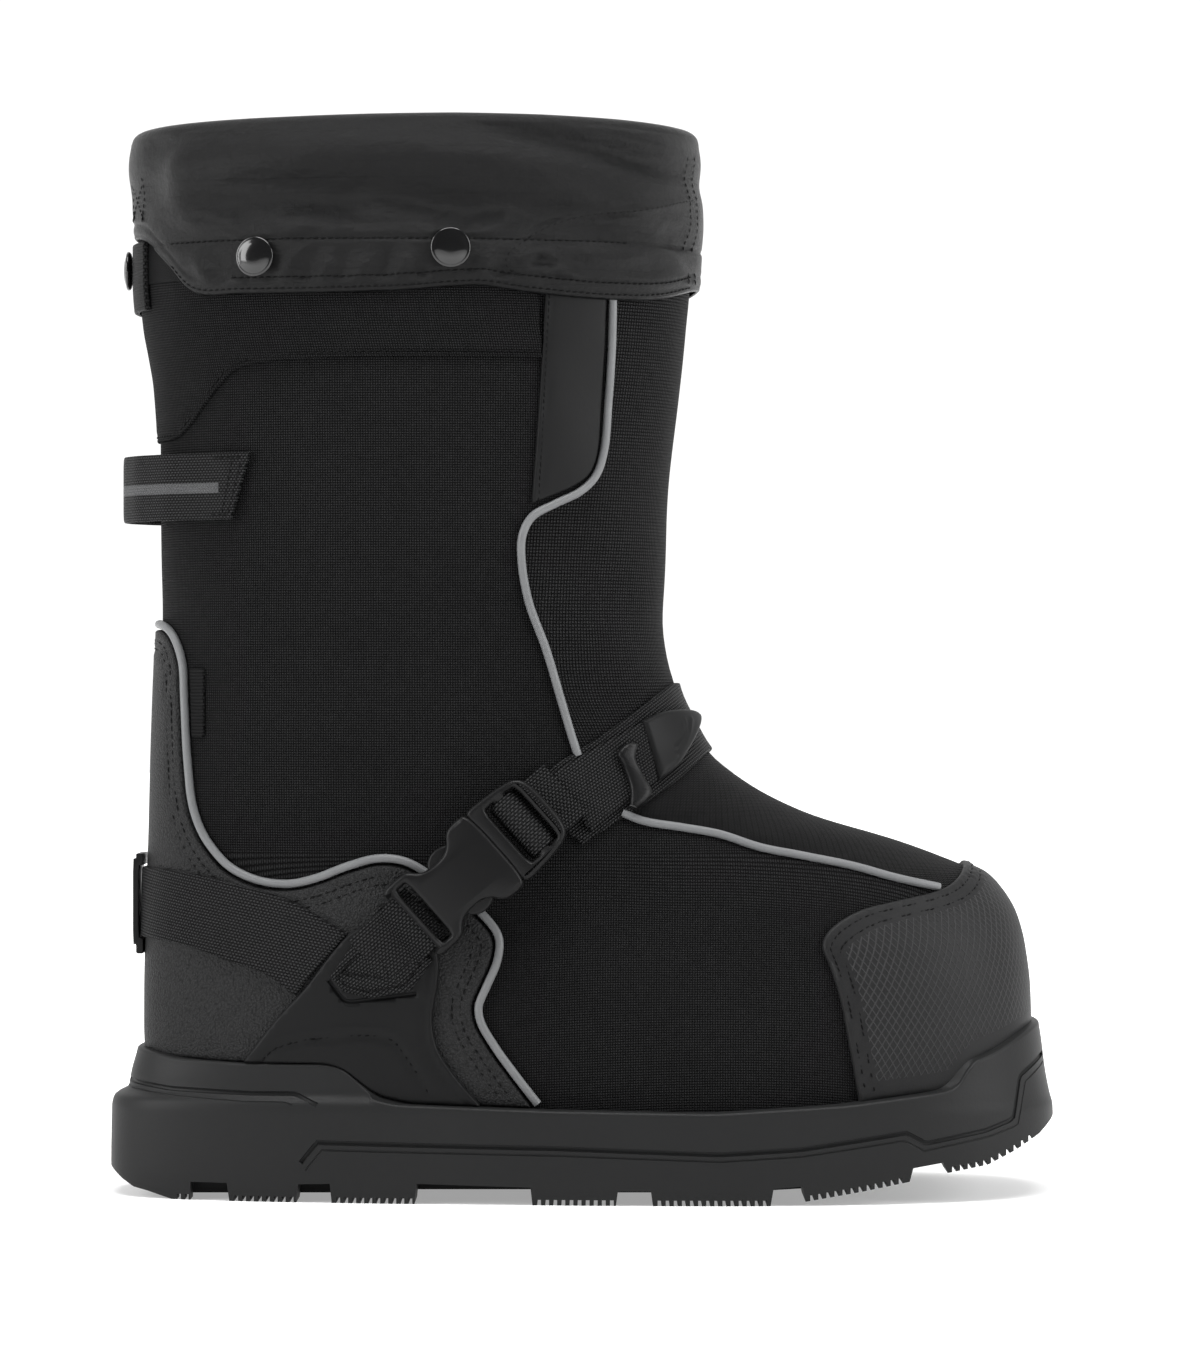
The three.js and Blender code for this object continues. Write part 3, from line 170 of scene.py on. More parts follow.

# %% [markdown]
# The woven shell isn't a perfect form: the warm lining and years of folding leave broad soft dents above the
# instep and at the ankle. Each is given as a line with a depth and a width, in the shoe's own sizes.
# The dents move the shell and everything sewn on it together, so a panel never lifts off what carries it.

# %% soft dents of the shell
# points of the line, depth in mm (below zero is a ridge), width in mm
DENTS = [
    ([(0.462, 0.640), (0.505, 0.590), (0.555, 0.545), (0.610, 0.520)], 1.5, 13),
    ([(0.500, 0.520), (0.545, 0.487), (0.610, 0.470)], -1.0, 9),
    ([(0.430, 0.540), (0.350, 0.500), (0.250, 0.475), (0.130, 0.480)], 1.1, 22),
    ([(0.130, 0.620), (0.250, 0.650), (0.380, 0.640)], 0.9, 24),
    ([(0.240, 0.420), (0.330, 0.405), (0.420, 0.430)], -0.8, 15),
    ([(0.540, 0.330), (0.600, 0.270), (0.640, 0.200)], 1.1, 17),
    ([(0.640, 0.400), (0.720, 0.345), (0.800, 0.322)], 0.9, 10),
    ([(0.480, 0.240), (0.540, 0.170)], -0.8, 15),
    ([(0.700, 0.270), (0.720, 0.160)], 0.7, 18),
    ([(0.050, 0.640), (0.110, 0.600), (0.210, 0.600)], 0.9, 13),
    ([(0.480, 0.790), (0.560, 0.700), (0.610, 0.660)], 0.9, 15),
    ([(0.300, 0.730), (0.420, 0.700)], 0.6, 16)]


def distance_to(points, line, closed=False):
    """How far each flat point is from a line of points, and where along the line it is nearest (0 to 1)."""
    line = np.asarray(line, float)
    if closed:
        line = np.vstack([line, line[:1]])
    a, b = line[:-1], line[1:]
    d = b - a
    size = np.maximum((d**2).sum(1), 1e-12)
    best, where = np.full(len(points), 1e9), np.zeros(len(points))
    for start in range(0, len(points), 4000):
        p = points[start:start + 4000, None, :]
        t = np.clip(((p - a) * d).sum(2) / size, 0, 1)
        gap = np.linalg.norm(p - a - t[..., None] * d, axis=2)
        k = gap.argmin(1)
        rows = np.arange(len(k))
        best[start:start + 4000], where[start:start + 4000] = gap[rows, k], (k + t[rows, k]) / len(a)
    return best, where


def dent(points):
    """How far the shell is pressed out (above zero) or in at these points."""
    flat = np.column_stack([points[:, 0], points[:, 2]])
    total = np.zeros(len(points))
    for line, depth, width in DENTS:
        gap, where = distance_to(flat, smooth_line(line, 6))
        fade = 0.35 + 0.65 * np.clip(4 * where * (1 - where), 0, 1)
        total -= depth * fade * np.exp(-(gap / width) ** 2)
    return total


def smooth_line(shares, step, closed=False):
    """A smooth line in mm through corner points given as shares, with points this many mm apart."""
    p = np.array(shares, float) * (LENGTH, HEIGHT)
    before, after = (p[-1:], p[:2]) if closed else (2 * p[:1] - p[1:2], 2 * p[-1:] - p[-2:-1])
    q = np.vstack([before, p, after])
    pieces = []
    for i in range(1, len(q) - 2):
        a, b, c, d = q[i - 1:i + 3]
        t0, t1 = np.linalg.norm(b - a) ** 0.5, np.linalg.norm(c - b) ** 0.5
        t2 = np.linalg.norm(d - c) ** 0.5
        t0, t2 = max(t0, 0.3 * t1), max(t2, 0.3 * t1)
        m1 = (c - b) - t1 * ((c - a) / (t0 + t1) - (b - a) / t0)
        m2 = (c - b) - t1 * ((d - b) / (t1 + t2) - (d - c) / t2)
        t = np.linspace(0, 1, 24, endpoint=False)[:, None]
        pieces.append((2 * t**3 - 3 * t**2 + 1) * b + (t**3 - 2 * t**2 + t) * m1
                      + (3 * t**2 - 2 * t**3) * c + (t**3 - t**2) * m2)
    fine = np.vstack(pieces + [q[-2:-1]])
    return even_steps(fine, step)


def even_steps(line, step):
    run = np.concatenate([[0], np.linalg.norm(np.diff(line, axis=0), axis=1).cumsum()])
    parts = max(2, int(round(run[-1] / step)))
    wanted = np.linspace(0, run[-1], parts + 1)
    return np.column_stack([np.interp(wanted, run, line[:, k]) for k in range(line.shape[1])])


def on_upper(turn, z, out=0.0):
    """Points of the shell with its dents, and their normals."""
    points, normals = upper_last.spot(turn, z)
    flat = points.reshape(-1, 3)
    moved = dent(flat).reshape(points.shape[:-1]) + out
    return points + normals * moved[..., None], normals


# %% [markdown]
# Materials come next, so that every piece can take its own when it is made. Most of the shoe is black, and
# only grain, weave and gloss tell the pieces apart. Each finish is a small node tree that reads the piece's
# own pattern, a map in millimetres that follows the surface, or else the place in the object.

# %% helpers for node materials
def new_finish(name, colour, roughness, specular=0.5):
    finish = bpy.data.materials.new(name)
    finish.use_nodes = True
    nodes, links = finish.node_tree.nodes, finish.node_tree.links
    shader = nodes["Principled BSDF"]
    shader.inputs["Base Color"].default_value = (*colour, 1)
    shader.inputs["Roughness"].default_value = roughness
    shader.inputs["Specular IOR Level"].default_value = specular
    return finish, nodes, links, shader


def calc(nodes, links, kind, one, two=None):
    node = nodes.new("ShaderNodeMath")
    node.operation = kind
    for socket, value in zip(node.inputs, (one, two)):
        if value is None:
            continue
        if isinstance(value, (int, float)):
            socket.default_value = value
        else:
            links.new(value, socket)
    return node.outputs[0]


def pattern_place(nodes, links, scale, turn=0.0):
    """The piece's own pattern in mm, times a scale, as separate x and y."""
    source = nodes.new("ShaderNodeUVMap")
    source.uv_map = "pattern"
    mapping = nodes.new("ShaderNodeMapping")
    mapping.inputs["Rotation"].default_value = (0, 0, math.radians(turn))
    mapping.inputs["Scale"].default_value = (1000 * scale[0], 1000 * scale[1], 1)
    links.new(source.outputs[0], mapping.inputs[0])
    parts = nodes.new("ShaderNodeSeparateXYZ")
    links.new(mapping.outputs[0], parts.inputs[0])
    return parts.outputs[0], parts.outputs[1]


def object_noise(nodes, links, scale, detail=2.0, stretch=(1, 1, 1), rough=0.5):
    place = nodes.new("ShaderNodeTexCoord")
    mapping = nodes.new("ShaderNodeMapping")
    mapping.inputs["Scale"].default_value = stretch
    links.new(place.outputs["Object"], mapping.inputs[0])
    noise = nodes.new("ShaderNodeTexNoise")
    noise.inputs["Scale"].default_value = scale
    noise.inputs["Detail"].default_value = detail
    noise.inputs["Roughness"].default_value = rough
    links.new(mapping.outputs[0], noise.inputs["Vector"])
    return noise.outputs[0]


def ramp(nodes, links, value, low, high, from_low=0.0, from_high=1.0):
    node = nodes.new("ShaderNodeMapRange")
    for name, number in (("From Min", from_low), ("From Max", from_high), ("To Min", low), ("To Max", high)):
        node.inputs[name].default_value = number
    links.new(value, node.inputs[0])
    return node.outputs[0]


def tint(nodes, links, shader, value, dark, light):
    mix = nodes.new("ShaderNodeMix")
    mix.data_type = "RGBA"
    mix.inputs["A"].default_value, mix.inputs["B"].default_value = (*dark, 1), (*light, 1)
    links.new(value, mix.inputs["Factor"])
    links.new(mix.outputs["Result"], shader.inputs["Base Color"])


def bump(nodes, links, shader, height, depth, strength=1.0, under=None):
    node = nodes.new("ShaderNodeBump")
    node.inputs["Strength"].default_value = strength
    node.inputs["Distance"].default_value = depth
    links.new(height, node.inputs["Height"])
    if under is not None:
        links.new(under, node.inputs["Normal"])
    links.new(node.outputs[0], shader.inputs["Normal"])
    return node.outputs[0]


# %% woven finishes
def woven(name, pitch, depth, dark, light, roughness, specular, sheen=0.0):
    """A plain weave: threads that go over and under each other, as small pillows turned by a quarter."""
    finish, nodes, links, shader = new_finish(name, light, roughness, specular)
    u, v = pattern_place(nodes, links, (1 / pitch, 1 / pitch))
    over_u = calc(nodes, links, "ABSOLUTE", calc(nodes, links, "SINE", calc(nodes, links, "MULTIPLY", u, math.pi)))
    over_v = calc(nodes, links, "ABSOLUTE", calc(nodes, links, "SINE", calc(nodes, links, "MULTIPLY", v, math.pi)))
    cell = calc(nodes, links, "ADD", calc(nodes, links, "FLOOR", u), calc(nodes, links, "FLOOR", v))
    odd = calc(nodes, links, "FLOORED_MODULO", cell, 2)
    even = calc(nodes, links, "SUBTRACT", 1.0, odd)
    long_u = calc(nodes, links, "MULTIPLY", calc(nodes, links, "POWER", over_u, 0.4), over_v)
    long_v = calc(nodes, links, "MULTIPLY", calc(nodes, links, "POWER", over_v, 0.4), over_u)
    height = calc(nodes, links, "ADD", calc(nodes, links, "MULTIPLY", long_u, odd),
                  calc(nodes, links, "MULTIPLY", long_v, even))
    slubs = object_noise(nodes, links, 260, 3)
    broad = object_noise(nodes, links, 14, 3)
    # the colour darkens into the hollows between the threads: painted shade; the slubs and broad noise vary the tone at
    # random
    painted_shade_and_tone = calc(nodes, links, "MULTIPLY", calc(nodes, links, "POWER", height, 2.2),
                calc(nodes, links, "ADD", 0.25, calc(nodes, links, "MULTIPLY", calc(nodes, links, "ADD", slubs, broad), 0.7)))
    tint(nodes, links, shader, painted_shade_and_tone, dark, light)
    bump(nodes, links, shader, height, depth)
    shader.inputs["Sheen Weight"].default_value = sheen
    shader.inputs["Sheen Roughness"].default_value = 0.45
    return finish


shell_weave = woven("shell_weave", 0.95, 0.00045, (0.0003, 0.0003, 0.0004), (0.0190, 0.0190, 0.0195),
                    0.70, 0.06)
gusset_weave = woven("gusset_weave", 1.25, 0.00075, (0.0003, 0.0003, 0.0004), (0.0250, 0.0250, 0.0256),
                     0.62, 0.07)


def ribbed_webbing(name, rib, rows, depth, dark, light, turn=0.0):
    """Webbing: warp cords that run along the strap, crossed by the finer weft."""
    finish, nodes, links, shader = new_finish(name, light, 0.52, 0.08)
    u, v = pattern_place(nodes, links, (1 / rows, 1 / rib), turn)
    half = calc(nodes, links, "MULTIPLY", calc(nodes, links, "FLOOR", v), 0.5)
    along = calc(nodes, links, "ADD", u, half)
    knuckle = calc(nodes, links, "ABSOLUTE", calc(nodes, links, "SINE", calc(nodes, links, "MULTIPLY", along, math.pi)))
    cord = calc(nodes, links, "ABSOLUTE", calc(nodes, links, "SINE", calc(nodes, links, "MULTIPLY", v, math.pi)))
    height = calc(nodes, links, "MULTIPLY", calc(nodes, links, "POWER", knuckle, 0.5), cord)
    fuzz = object_noise(nodes, links, 900, 2)
    # the colour darkens into the grooves between the cords and knuckles: painted shade; the fuzz varies the tone at
    # random
    painted_shade_and_tone = calc(nodes, links, "ADD", calc(nodes, links, "MULTIPLY", calc(nodes, links, "POWER", height, 2.4), 0.90),
                calc(nodes, links, "MULTIPLY", fuzz, 0.10))
    tint(nodes, links, shader, painted_shade_and_tone, dark, light)
    bump(nodes, links, shader, height, depth)
    return finish


WEB_DARK, WEB_LIGHT = (0.0003, 0.0003, 0.0004), (0.0400, 0.0403, 0.0410)
strap_webbing = ribbed_webbing("strap_webbing", 1.1, 1.65, 0.00080, WEB_DARK, WEB_LIGHT)
cross_tape = ribbed_webbing("cross_tape", 1.25, 0.5, 0.00060, (0.0012, 0.0012, 0.0013), (0.0180, 0.0181, 0.0186), 90)
ribbed_tape = ribbed_webbing("ribbed_tape", 1.25, 0.5, 0.00055, (0.0012, 0.0012, 0.0013), (0.0180, 0.0181, 0.0186))

def striped_webbing(reach):
    """The loop's webbing: a light grey stripe is woven in along its middle, up to near its sewn ends."""
    finish = ribbed_webbing("striped_webbing", 1.0, 1.5, 0.00070, WEB_DARK, WEB_LIGHT)
    nodes, links = finish.node_tree.nodes, finish.node_tree.links
    u, v = pattern_place(nodes, links, (1, 1))
    near = calc(nodes, links, "LESS_THAN", calc(nodes, links, "ABSOLUTE", calc(nodes, links, "ADD", v, 0.6)), 1.9)
    inside = calc(nodes, links, "LESS_THAN", calc(nodes, links, "ABSOLUTE", u), reach)
    mix = nodes.new("ShaderNodeMix")
    mix.data_type = "RGBA"
    links.new(calc(nodes, links, "MULTIPLY", near, inside), mix.inputs["Factor"])
    links.new(nodes["Principled BSDF"].inputs["Base Color"].links[0].from_socket, mix.inputs["A"])
    mix.inputs["B"].default_value = (0.085, 0.086, 0.088, 1)
    links.new(mix.outputs["Result"], nodes["Principled BSDF"].inputs["Base Color"])
    return finish


# %% cuff cloth, rubber, leather and the small finishes
def coated_nylon():
    """Thin nylon with a coating: a very fine weave with every sixteenth thread doubled, and a soft lustre."""
    finish, nodes, links, shader = new_finish("coated_nylon", (0.006, 0.006, 0.0062), 0.42, 0.145)
    u, v = pattern_place(nodes, links, (1 / 0.34, 1 / 0.34))
    fine = calc(nodes, links, "ABSOLUTE", calc(nodes, links, "MULTIPLY",
                calc(nodes, links, "SINE", calc(nodes, links, "MULTIPLY", u, math.pi)),
                calc(nodes, links, "SINE", calc(nodes, links, "MULTIPLY", v, math.pi))))
    u2, v2 = pattern_place(nodes, links, (1 / 5.6, 1 / 5.6))
    doubled = calc(nodes, links, "MAXIMUM",
                   calc(nodes, links, "GREATER_THAN", calc(nodes, links, "FRACT", u2), 0.93),
                   calc(nodes, links, "GREATER_THAN", calc(nodes, links, "FRACT", v2), 0.93))
    height = calc(nodes, links, "ADD", fine, calc(nodes, links, "MULTIPLY", doubled, 0.8))
    crumple = object_noise(nodes, links, 42, 4, (1, 1, 1.6), 0.6)
    low = nodes.new("ShaderNodeBump")
    low.inputs["Distance"].default_value = 0.0030
    low.inputs["Strength"].default_value = 0.75
    links.new(crumple, low.inputs["Height"])
    bump(nodes, links, shader, height, 0.00007, 1.0, low.outputs[0])
    cloudy = object_noise(nodes, links, 20, 3)
    links.new(ramp(nodes, links, cloudy, 0.28, 0.42), shader.inputs["Roughness"])
    tint(nodes, links, shader, cloudy, (0.0022, 0.0022, 0.0023), (0.0042, 0.0042, 0.0044))
    return finish


def moulded_rubber(name, colour, roughness, specular, grain, depth):
    """Satin rubber from a mould: very fine grain, a little bloom on it, and softly uneven gloss."""
    finish, nodes, links, shader = new_finish(name, colour, roughness, specular)
    fine = object_noise(nodes, links, grain, 3, rough=0.65)
    bloom = object_noise(nodes, links, 16, 4)
    tint(nodes, links, shader, bloom, tuple(c * 0.82 for c in colour), tuple(c * 1.16 for c in colour))
    links.new(ramp(nodes, links, bloom, roughness - 0.07, roughness + 0.07), shader.inputs["Roughness"])
    bump(nodes, links, shader, fine, depth)
    return finish


def grained_leather():
    """Coated split leather with a pebbled grain: small rounded cells of uneven size."""
    finish, nodes, links, shader = new_finish("grained_leather", (0.026, 0.026, 0.0265), 0.56, 0.14)
    place = nodes.new("ShaderNodeTexCoord")
    cells = nodes.new("ShaderNodeTexVoronoi")
    cells.inputs["Scale"].default_value = 1150
    links.new(place.outputs["Object"], cells.inputs["Vector"])
    fine = object_noise(nodes, links, 1500, 3)
    pebble = calc(nodes, links, "SUBTRACT", calc(nodes, links, "MULTIPLY", fine, 0.7), cells.outputs["Distance"])
    # the colour darkens into the crevices between the pebbles: painted shade; the fine noise varies the tone at random
    tint(nodes, links, shader, ramp(nodes, links, pebble, 0, 1, -0.7, 0.6), (0.0040, 0.0040, 0.0042), (0.0245, 0.0247, 0.0252))
    bump(nodes, links, shader, pebble, 0.00040)
    return finish


def diamond_rubber():
    """The toe cap's relief: slanted fine grooves that cross and leave small raised diamonds."""
    finish, nodes, links, shader = new_finish("diamond_rubber", (0.03, 0.03, 0.0305), 0.5, 0.14)
    u, v = pattern_place(nodes, links, (1 / 2.9, 1 / 4.4))
    one = calc(nodes, links, "ABSOLUTE", calc(nodes, links, "SINE", calc(nodes, links, "MULTIPLY", calc(nodes, links, "ADD", u, v), math.pi)))
    two = calc(nodes, links, "ABSOLUTE", calc(nodes, links, "SINE", calc(nodes, links, "MULTIPLY", calc(nodes, links, "SUBTRACT", u, v), math.pi)))
    lines = ramp(nodes, links, calc(nodes, links, "MINIMUM", one, two), 1, 0, 0.05, 0.42)
    place = nodes.new("ShaderNodeAttribute")
    place.attribute_name = "edge"
    inside = calc(nodes, links, "GREATER_THAN", place.outputs["Fac"], 0.0074)
    lines = calc(nodes, links, "MULTIPLY", lines, inside)
    fine = object_noise(nodes, links, 1300, 3)
    height = calc(nodes, links, "ADD", lines, calc(nodes, links, "MULTIPLY", fine, 0.3))
    # the colour follows the relief height, darker where the relief is low and lighter on its lines: painted shade; the
    # fine noise varies the tone at random
    tint(nodes, links, shader, ramp(nodes, links, height, 0, 1, 0, 1.25), (0.0080, 0.0080, 0.0083), (0.0360, 0.0362, 0.0370))
    bump(nodes, links, shader, height, 0.00028)
    return finish


def piping_cloth():
    """Light grey reflective binding: tiny glass beads make it fine-grained and a little glossy."""
    finish, nodes, links, shader = new_finish("piping_cloth", (0.24, 0.245, 0.25), 0.5, 0.5)
    beads = object_noise(nodes, links, 1600, 2)
    dust = object_noise(nodes, links, 45, 4)
    tint(nodes, links, shader, calc(nodes, links, "ADD", calc(nodes, links, "MULTIPLY", beads, 0.5),
         calc(nodes, links, "MULTIPLY", dust, 0.5)), (0.078, 0.080, 0.082), (0.158, 0.161, 0.165))
    bump(nodes, links, shader, beads, 0.00006)
    return finish


nylon = coated_nylon()
sole_rubber = moulded_rubber("sole_rubber", (0.0120, 0.0122, 0.0124), 0.48, 0.15, 700, 0.00006)
smooth_rubber = moulded_rubber("smooth_rubber", (0.0070, 0.0071, 0.0073), 0.45, 0.10, 800, 0.00004)
moulded_plastic = moulded_rubber("moulded_plastic", (0.0060, 0.0060, 0.0062), 0.36, 0.14, 1100, 0.00003)
snap_gloss = moulded_rubber("snap_gloss", (0.0040, 0.0040, 0.0042), 0.12, 0.55, 500, 0.00001)
thread = moulded_rubber("thread", (0.0030, 0.0030, 0.0031), 0.55, 0.08, 2600, 0.00008)
lining_felt = moulded_rubber("lining_felt", (0.030, 0.030, 0.0315), 0.92, 0.10, 900, 0.00040)
leather = grained_leather()
diamonds = diamond_rubber()
piping_grey = piping_cloth()
print("finishes:", len(bpy.data.materials))

# %% [markdown]
# A sewn panel starts as a flat pattern, as on the cutting table: the outline is drawn, narrow rims are inset
# for its rounded edge, it is cut into small squares so that it can bend, and extruded to a thin slab. Then it
# is wrapped on the last. The pattern measures along the shoe from the front or from the back seam, and upwards
# by height, or on the toe along the slope, because the height hardly changes over the top of the toe.

# %% flat patterns
class Pattern:
    def __init__(self, start, sloped=False):
        self.start = start
        z = upper_last.heights
        front = np.hypot(np.diff(z), np.diff(upper_last.net[:, 0, 0])).cumsum() + z[0]
        self.rise = np.concatenate([z[:1], front]) if sloped else z

    def flat(self, line, side):
        """From the side view in mm to the pattern; the outer side has u above zero."""
        turn = upper_last.turn_at(line[:, 0], line[:, 1], side)
        girth = np.interp(line[:, 1], upper_last.heights, upper_last.girth[0 if side < 0 else 1])
        share = 2 * turn if side < 0 else 2 * (1 - turn)
        u = (share if self.start == "front" else 1 - share) * girth * (1 if side < 0 else -1)
        return np.column_stack([u, np.interp(line[:, 1], upper_last.heights, self.rise)])

    def turn_and_height(self, flat):
        z = np.interp(flat[:, 1], self.rise, upper_last.heights)
        outer = flat[:, 0] >= 0
        girth = np.where(outer, np.interp(z, upper_last.heights, upper_last.girth[0]),
                         np.interp(z, upper_last.heights, upper_last.girth[1]))
        share = np.abs(flat[:, 0]) / girth
        share = share if self.start == "front" else 1 - share
        return np.where(outer, share / 2, 1 - share / 2), z

    def lift(self, flat, out):
        return on_upper(*self.turn_and_height(flat), out)


from_front, from_back, over_toe = Pattern("front"), Pattern("back"), Pattern("front", sloped=True)


def joined(*lines):
    """One outline from several lines, without points that lie on each other."""
    points = np.vstack(lines)
    keep = [0]
    for i in range(1, len(points)):
        if np.linalg.norm(points[i] - points[keep[-1]]) > 0.35:
            keep.append(i)
    if np.linalg.norm(points[keep[-1]] - points[0]) < 0.35:
        keep.pop()
    return points[keep]


def round_both_sides(pattern, line):
    """A line of the side view that starts and ends on the middle, taken round both sides of the shoe."""
    outer, inner = pattern.flat(line, -1), pattern.flat(line, 1)
    outer, inner = outer[np.abs(outer[:, 0]) > 0.4], inner[np.abs(inner[:, 0]) > 0.4]
    first, last = [[(0.0, (outer[i, 1] + inner[i, 1]) / 2)] for i in (0, -1)]
    return joined(first, outer, last, inner[::-1])


def beside(line, gap):
    """A line at this distance to the left of another, as a seam runs beside an edge."""
    way = np.gradient(line, axis=0)
    way /= np.maximum(np.linalg.norm(way, axis=1, keepdims=True), 1e-9)
    moved = line + np.column_stack([-way[:, 1], way[:, 0]]) * gap
    return even_steps(moved[distance_to(moved, line)[0] > abs(gap) * 0.96], 1.5)


# %% from flat pattern to wrapped panel
def in_frame(points_mm):
    return (np.asarray(points_mm) - (ORIGIN_X, ORIGIN_Y, 0)) * 0.001


def take(piece):
    bpy.ops.object.select_all(action="DESELECT")
    piece.select_set(True)
    bpy.context.view_layer.objects.active = piece


def cut_out(name, outline, rims, square):
    bpy.ops.object.select_all(action="DESELECT")
    bpy.ops.mesh.primitive_circle_add(vertices=len(outline), radius=1, fill_type="NGON")
    piece = bpy.context.object
    piece.name = piece.data.name = name
    piece.data.vertices.foreach_set("co", np.column_stack([outline, np.zeros(len(outline))]).ravel())
    bpy.ops.object.mode_set(mode="EDIT")
    bpy.ops.mesh.select_all(action="SELECT")
    for width in rims:
        bpy.ops.mesh.inset(thickness=width)
    low, high = outline.min(0), outline.max(0)
    for axis in (0, 1):
        for place in np.arange(low[axis] + 0.51 * square, high[axis], square):
            bpy.ops.mesh.select_all(action="SELECT")
            at = (float(place), 0, 0) if axis == 0 else (0, float(place), 0)
            bpy.ops.mesh.bisect(plane_co=at, plane_no=(1 - axis, axis, 0))
    bpy.ops.mesh.select_all(action="SELECT")
    bpy.ops.mesh.extrude_region_move(TRANSFORM_OT_translate={"value": (0, 0, 1)})
    bpy.ops.object.mode_set(mode="OBJECT")
    return piece


def keep_pattern(piece, flat):
    """Stores the flat pattern, in metres, as the piece's own map."""
    layer = piece.data.uv_layers.new(name="pattern")
    corners = np.zeros(len(piece.data.loops), int)
    piece.data.loops.foreach_get("vertex_index", corners)
    layer.data.foreach_set("uv", (flat[corners] * 0.001).astype(np.float32).ravel())


def set_points(piece, points_mm):
    piece.data.vertices.foreach_set("co", in_frame(points_mm).astype(np.float32).ravel())
    piece.data.update()


def get_points(piece):
    co = np.zeros(len(piece.data.vertices) * 3)
    piece.data.vertices.foreach_get("co", co)
    return co.reshape(-1, 3)


def outward(piece, angle=35):
    take(piece)
    bpy.ops.object.mode_set(mode="EDIT")
    bpy.ops.mesh.select_all(action="SELECT")
    bpy.ops.mesh.normals_make_consistent(inside=False)
    bpy.ops.object.mode_set(mode="OBJECT")
    bpy.ops.object.shade_smooth_by_angle(angle=math.radians(angle))


def finish_piece(piece, finish, slot, *nodes):
    piece.data.materials.clear()
    piece.data.materials.append(finish)
    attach(piece, "root")
    if nodes:
        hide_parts(*nodes)
    print(f"{piece.name}: {sum(len(p.vertices) - 2 for p in piece.data.polygons)} triangles")
    return piece


def sewn_panel(name, outline, pattern, under, thick, finish, slot, nodes, square=2.0, rolled=0.8, seams=(),
               ridges=(), belly=0.0, grain=0.0):
    """seams are pressed into the panel by their stitches; ridges stand out. Each is (line, depth, width)."""
    piece = cut_out(name, outline, (0.12, 0.25, 0.5), square)
    co = get_points(piece)
    flat, top = co[:, :2].copy(), co[:, 2] > 0.5
    edge, _ = distance_to(flat, outline, closed=True)
    roll = np.sqrt(np.clip(1 - (1 - np.clip(edge / rolled, 0, 1)) ** 2, 0, 1))
    height = 0.25 * thick + 0.75 * thick * roll + belly * ease(edge / 9)
    for line, depth, width in seams:
        height = height - depth * np.exp(-(distance_to(flat, line)[0] / width) ** 2)
    for line, depth, width in ridges:
        height = height + depth * np.exp(-(distance_to(flat, line)[0] / width) ** 2)
    points, _ = pattern.lift(flat, np.where(top, under + height, under))
    set_points(piece, points)
    if grain:
        # webbing runs along its strap: by side view, plus what it travels across the shoe
        rise, run = math.sin(math.radians(grain)), math.cos(math.radians(grain))
        round_it = np.abs(points[:, 1]) * (0.85 if pattern is from_back else -0.85)
        keep_pattern(piece, np.column_stack([points[:, 0] * run + points[:, 2] * rise + round_it,
                                             points[:, 2] * run - points[:, 0] * rise]))
    else:
        keep_pattern(piece, flat)
    store = piece.data.attributes.new("edge", "FLOAT", "POINT")
    store.data.foreach_set("value", (edge * 0.001).astype(np.float32))
    outward(piece, 50)
    return finish_piece(piece, finish, slot, *nodes)


# %% [markdown]
# Stitches are real thread here, not a drawing: one stitch is modelled as a short rounded rope whose ends dip
# into the cloth, and copied along each seam at the pitch of a walking-foot machine, about 3 mm.

# %% one stitch, copied along the seams
def model_stitch():
    bpy.ops.object.select_all(action="DESELECT")
    bpy.ops.mesh.primitive_uv_sphere_add(segments=6, ring_count=6, radius=1)
    stitch = bpy.context.object
    bpy.ops.object.mode_set(mode="EDIT")
    bpy.ops.mesh.select_all(action="SELECT")
    bpy.ops.transform.rotate(value=math.radians(90), orient_axis="Y", center_override=(0, 0, 0))
    bpy.ops.transform.resize(value=(1.35, 0.36, 0.34))
    bpy.ops.object.mode_set(mode="OBJECT")
    shape = get_points(stitch)
    shape[:, 2] -= 0.30 * (shape[:, 0] / 1.35) ** 2
    faces = [list(p.vertices) for p in stitch.data.polygons]
    bpy.data.objects.remove(stitch)
    return shape, faces


STITCH, STITCH_FACES = model_stitch()


def sew(name, paths, slot, pitch=3.0, size=1.0):
    """paths are (points, normals) on the surface, in mm."""
    points, faces = [], []
    for line, normals in paths:
        run = np.concatenate([[0], np.linalg.norm(np.diff(line, axis=0), axis=1).cumsum()])
        for at in np.arange(pitch * 0.6, run[-1] - pitch * 0.4, pitch):
            here, ahead, behind = [np.array([np.interp(at + d, run, line[:, k]) for k in range(3)])
                                   for d in (0, 0.8, -0.8)]
            up = np.array([np.interp(at, run, normals[:, k]) for k in range(3)])
            way = ahead - behind
            way /= np.linalg.norm(way)
            across = np.cross(up, way)
            across /= np.linalg.norm(across)
            way = way + 0.10 * across
            way /= np.linalg.norm(way)
            axes = np.array([way, np.cross(np.cross(way, across), way), np.cross(way, across)])
            first = len(points) * len(STITCH)
            points.append(here + (STITCH * size) @ axes)
            faces += [[first + i for i in f] for f in STITCH_FACES]
    mesh = bpy.data.meshes.new(name)
    mesh.from_pydata(in_frame(np.vstack(points)).tolist(), [], faces)
    piece = bpy.data.objects.new(name, mesh)
    bpy.context.scene.collection.objects.link(piece)
    take(piece)
    bpy.ops.object.shade_smooth()
    return finish_piece(piece, thread, slot)


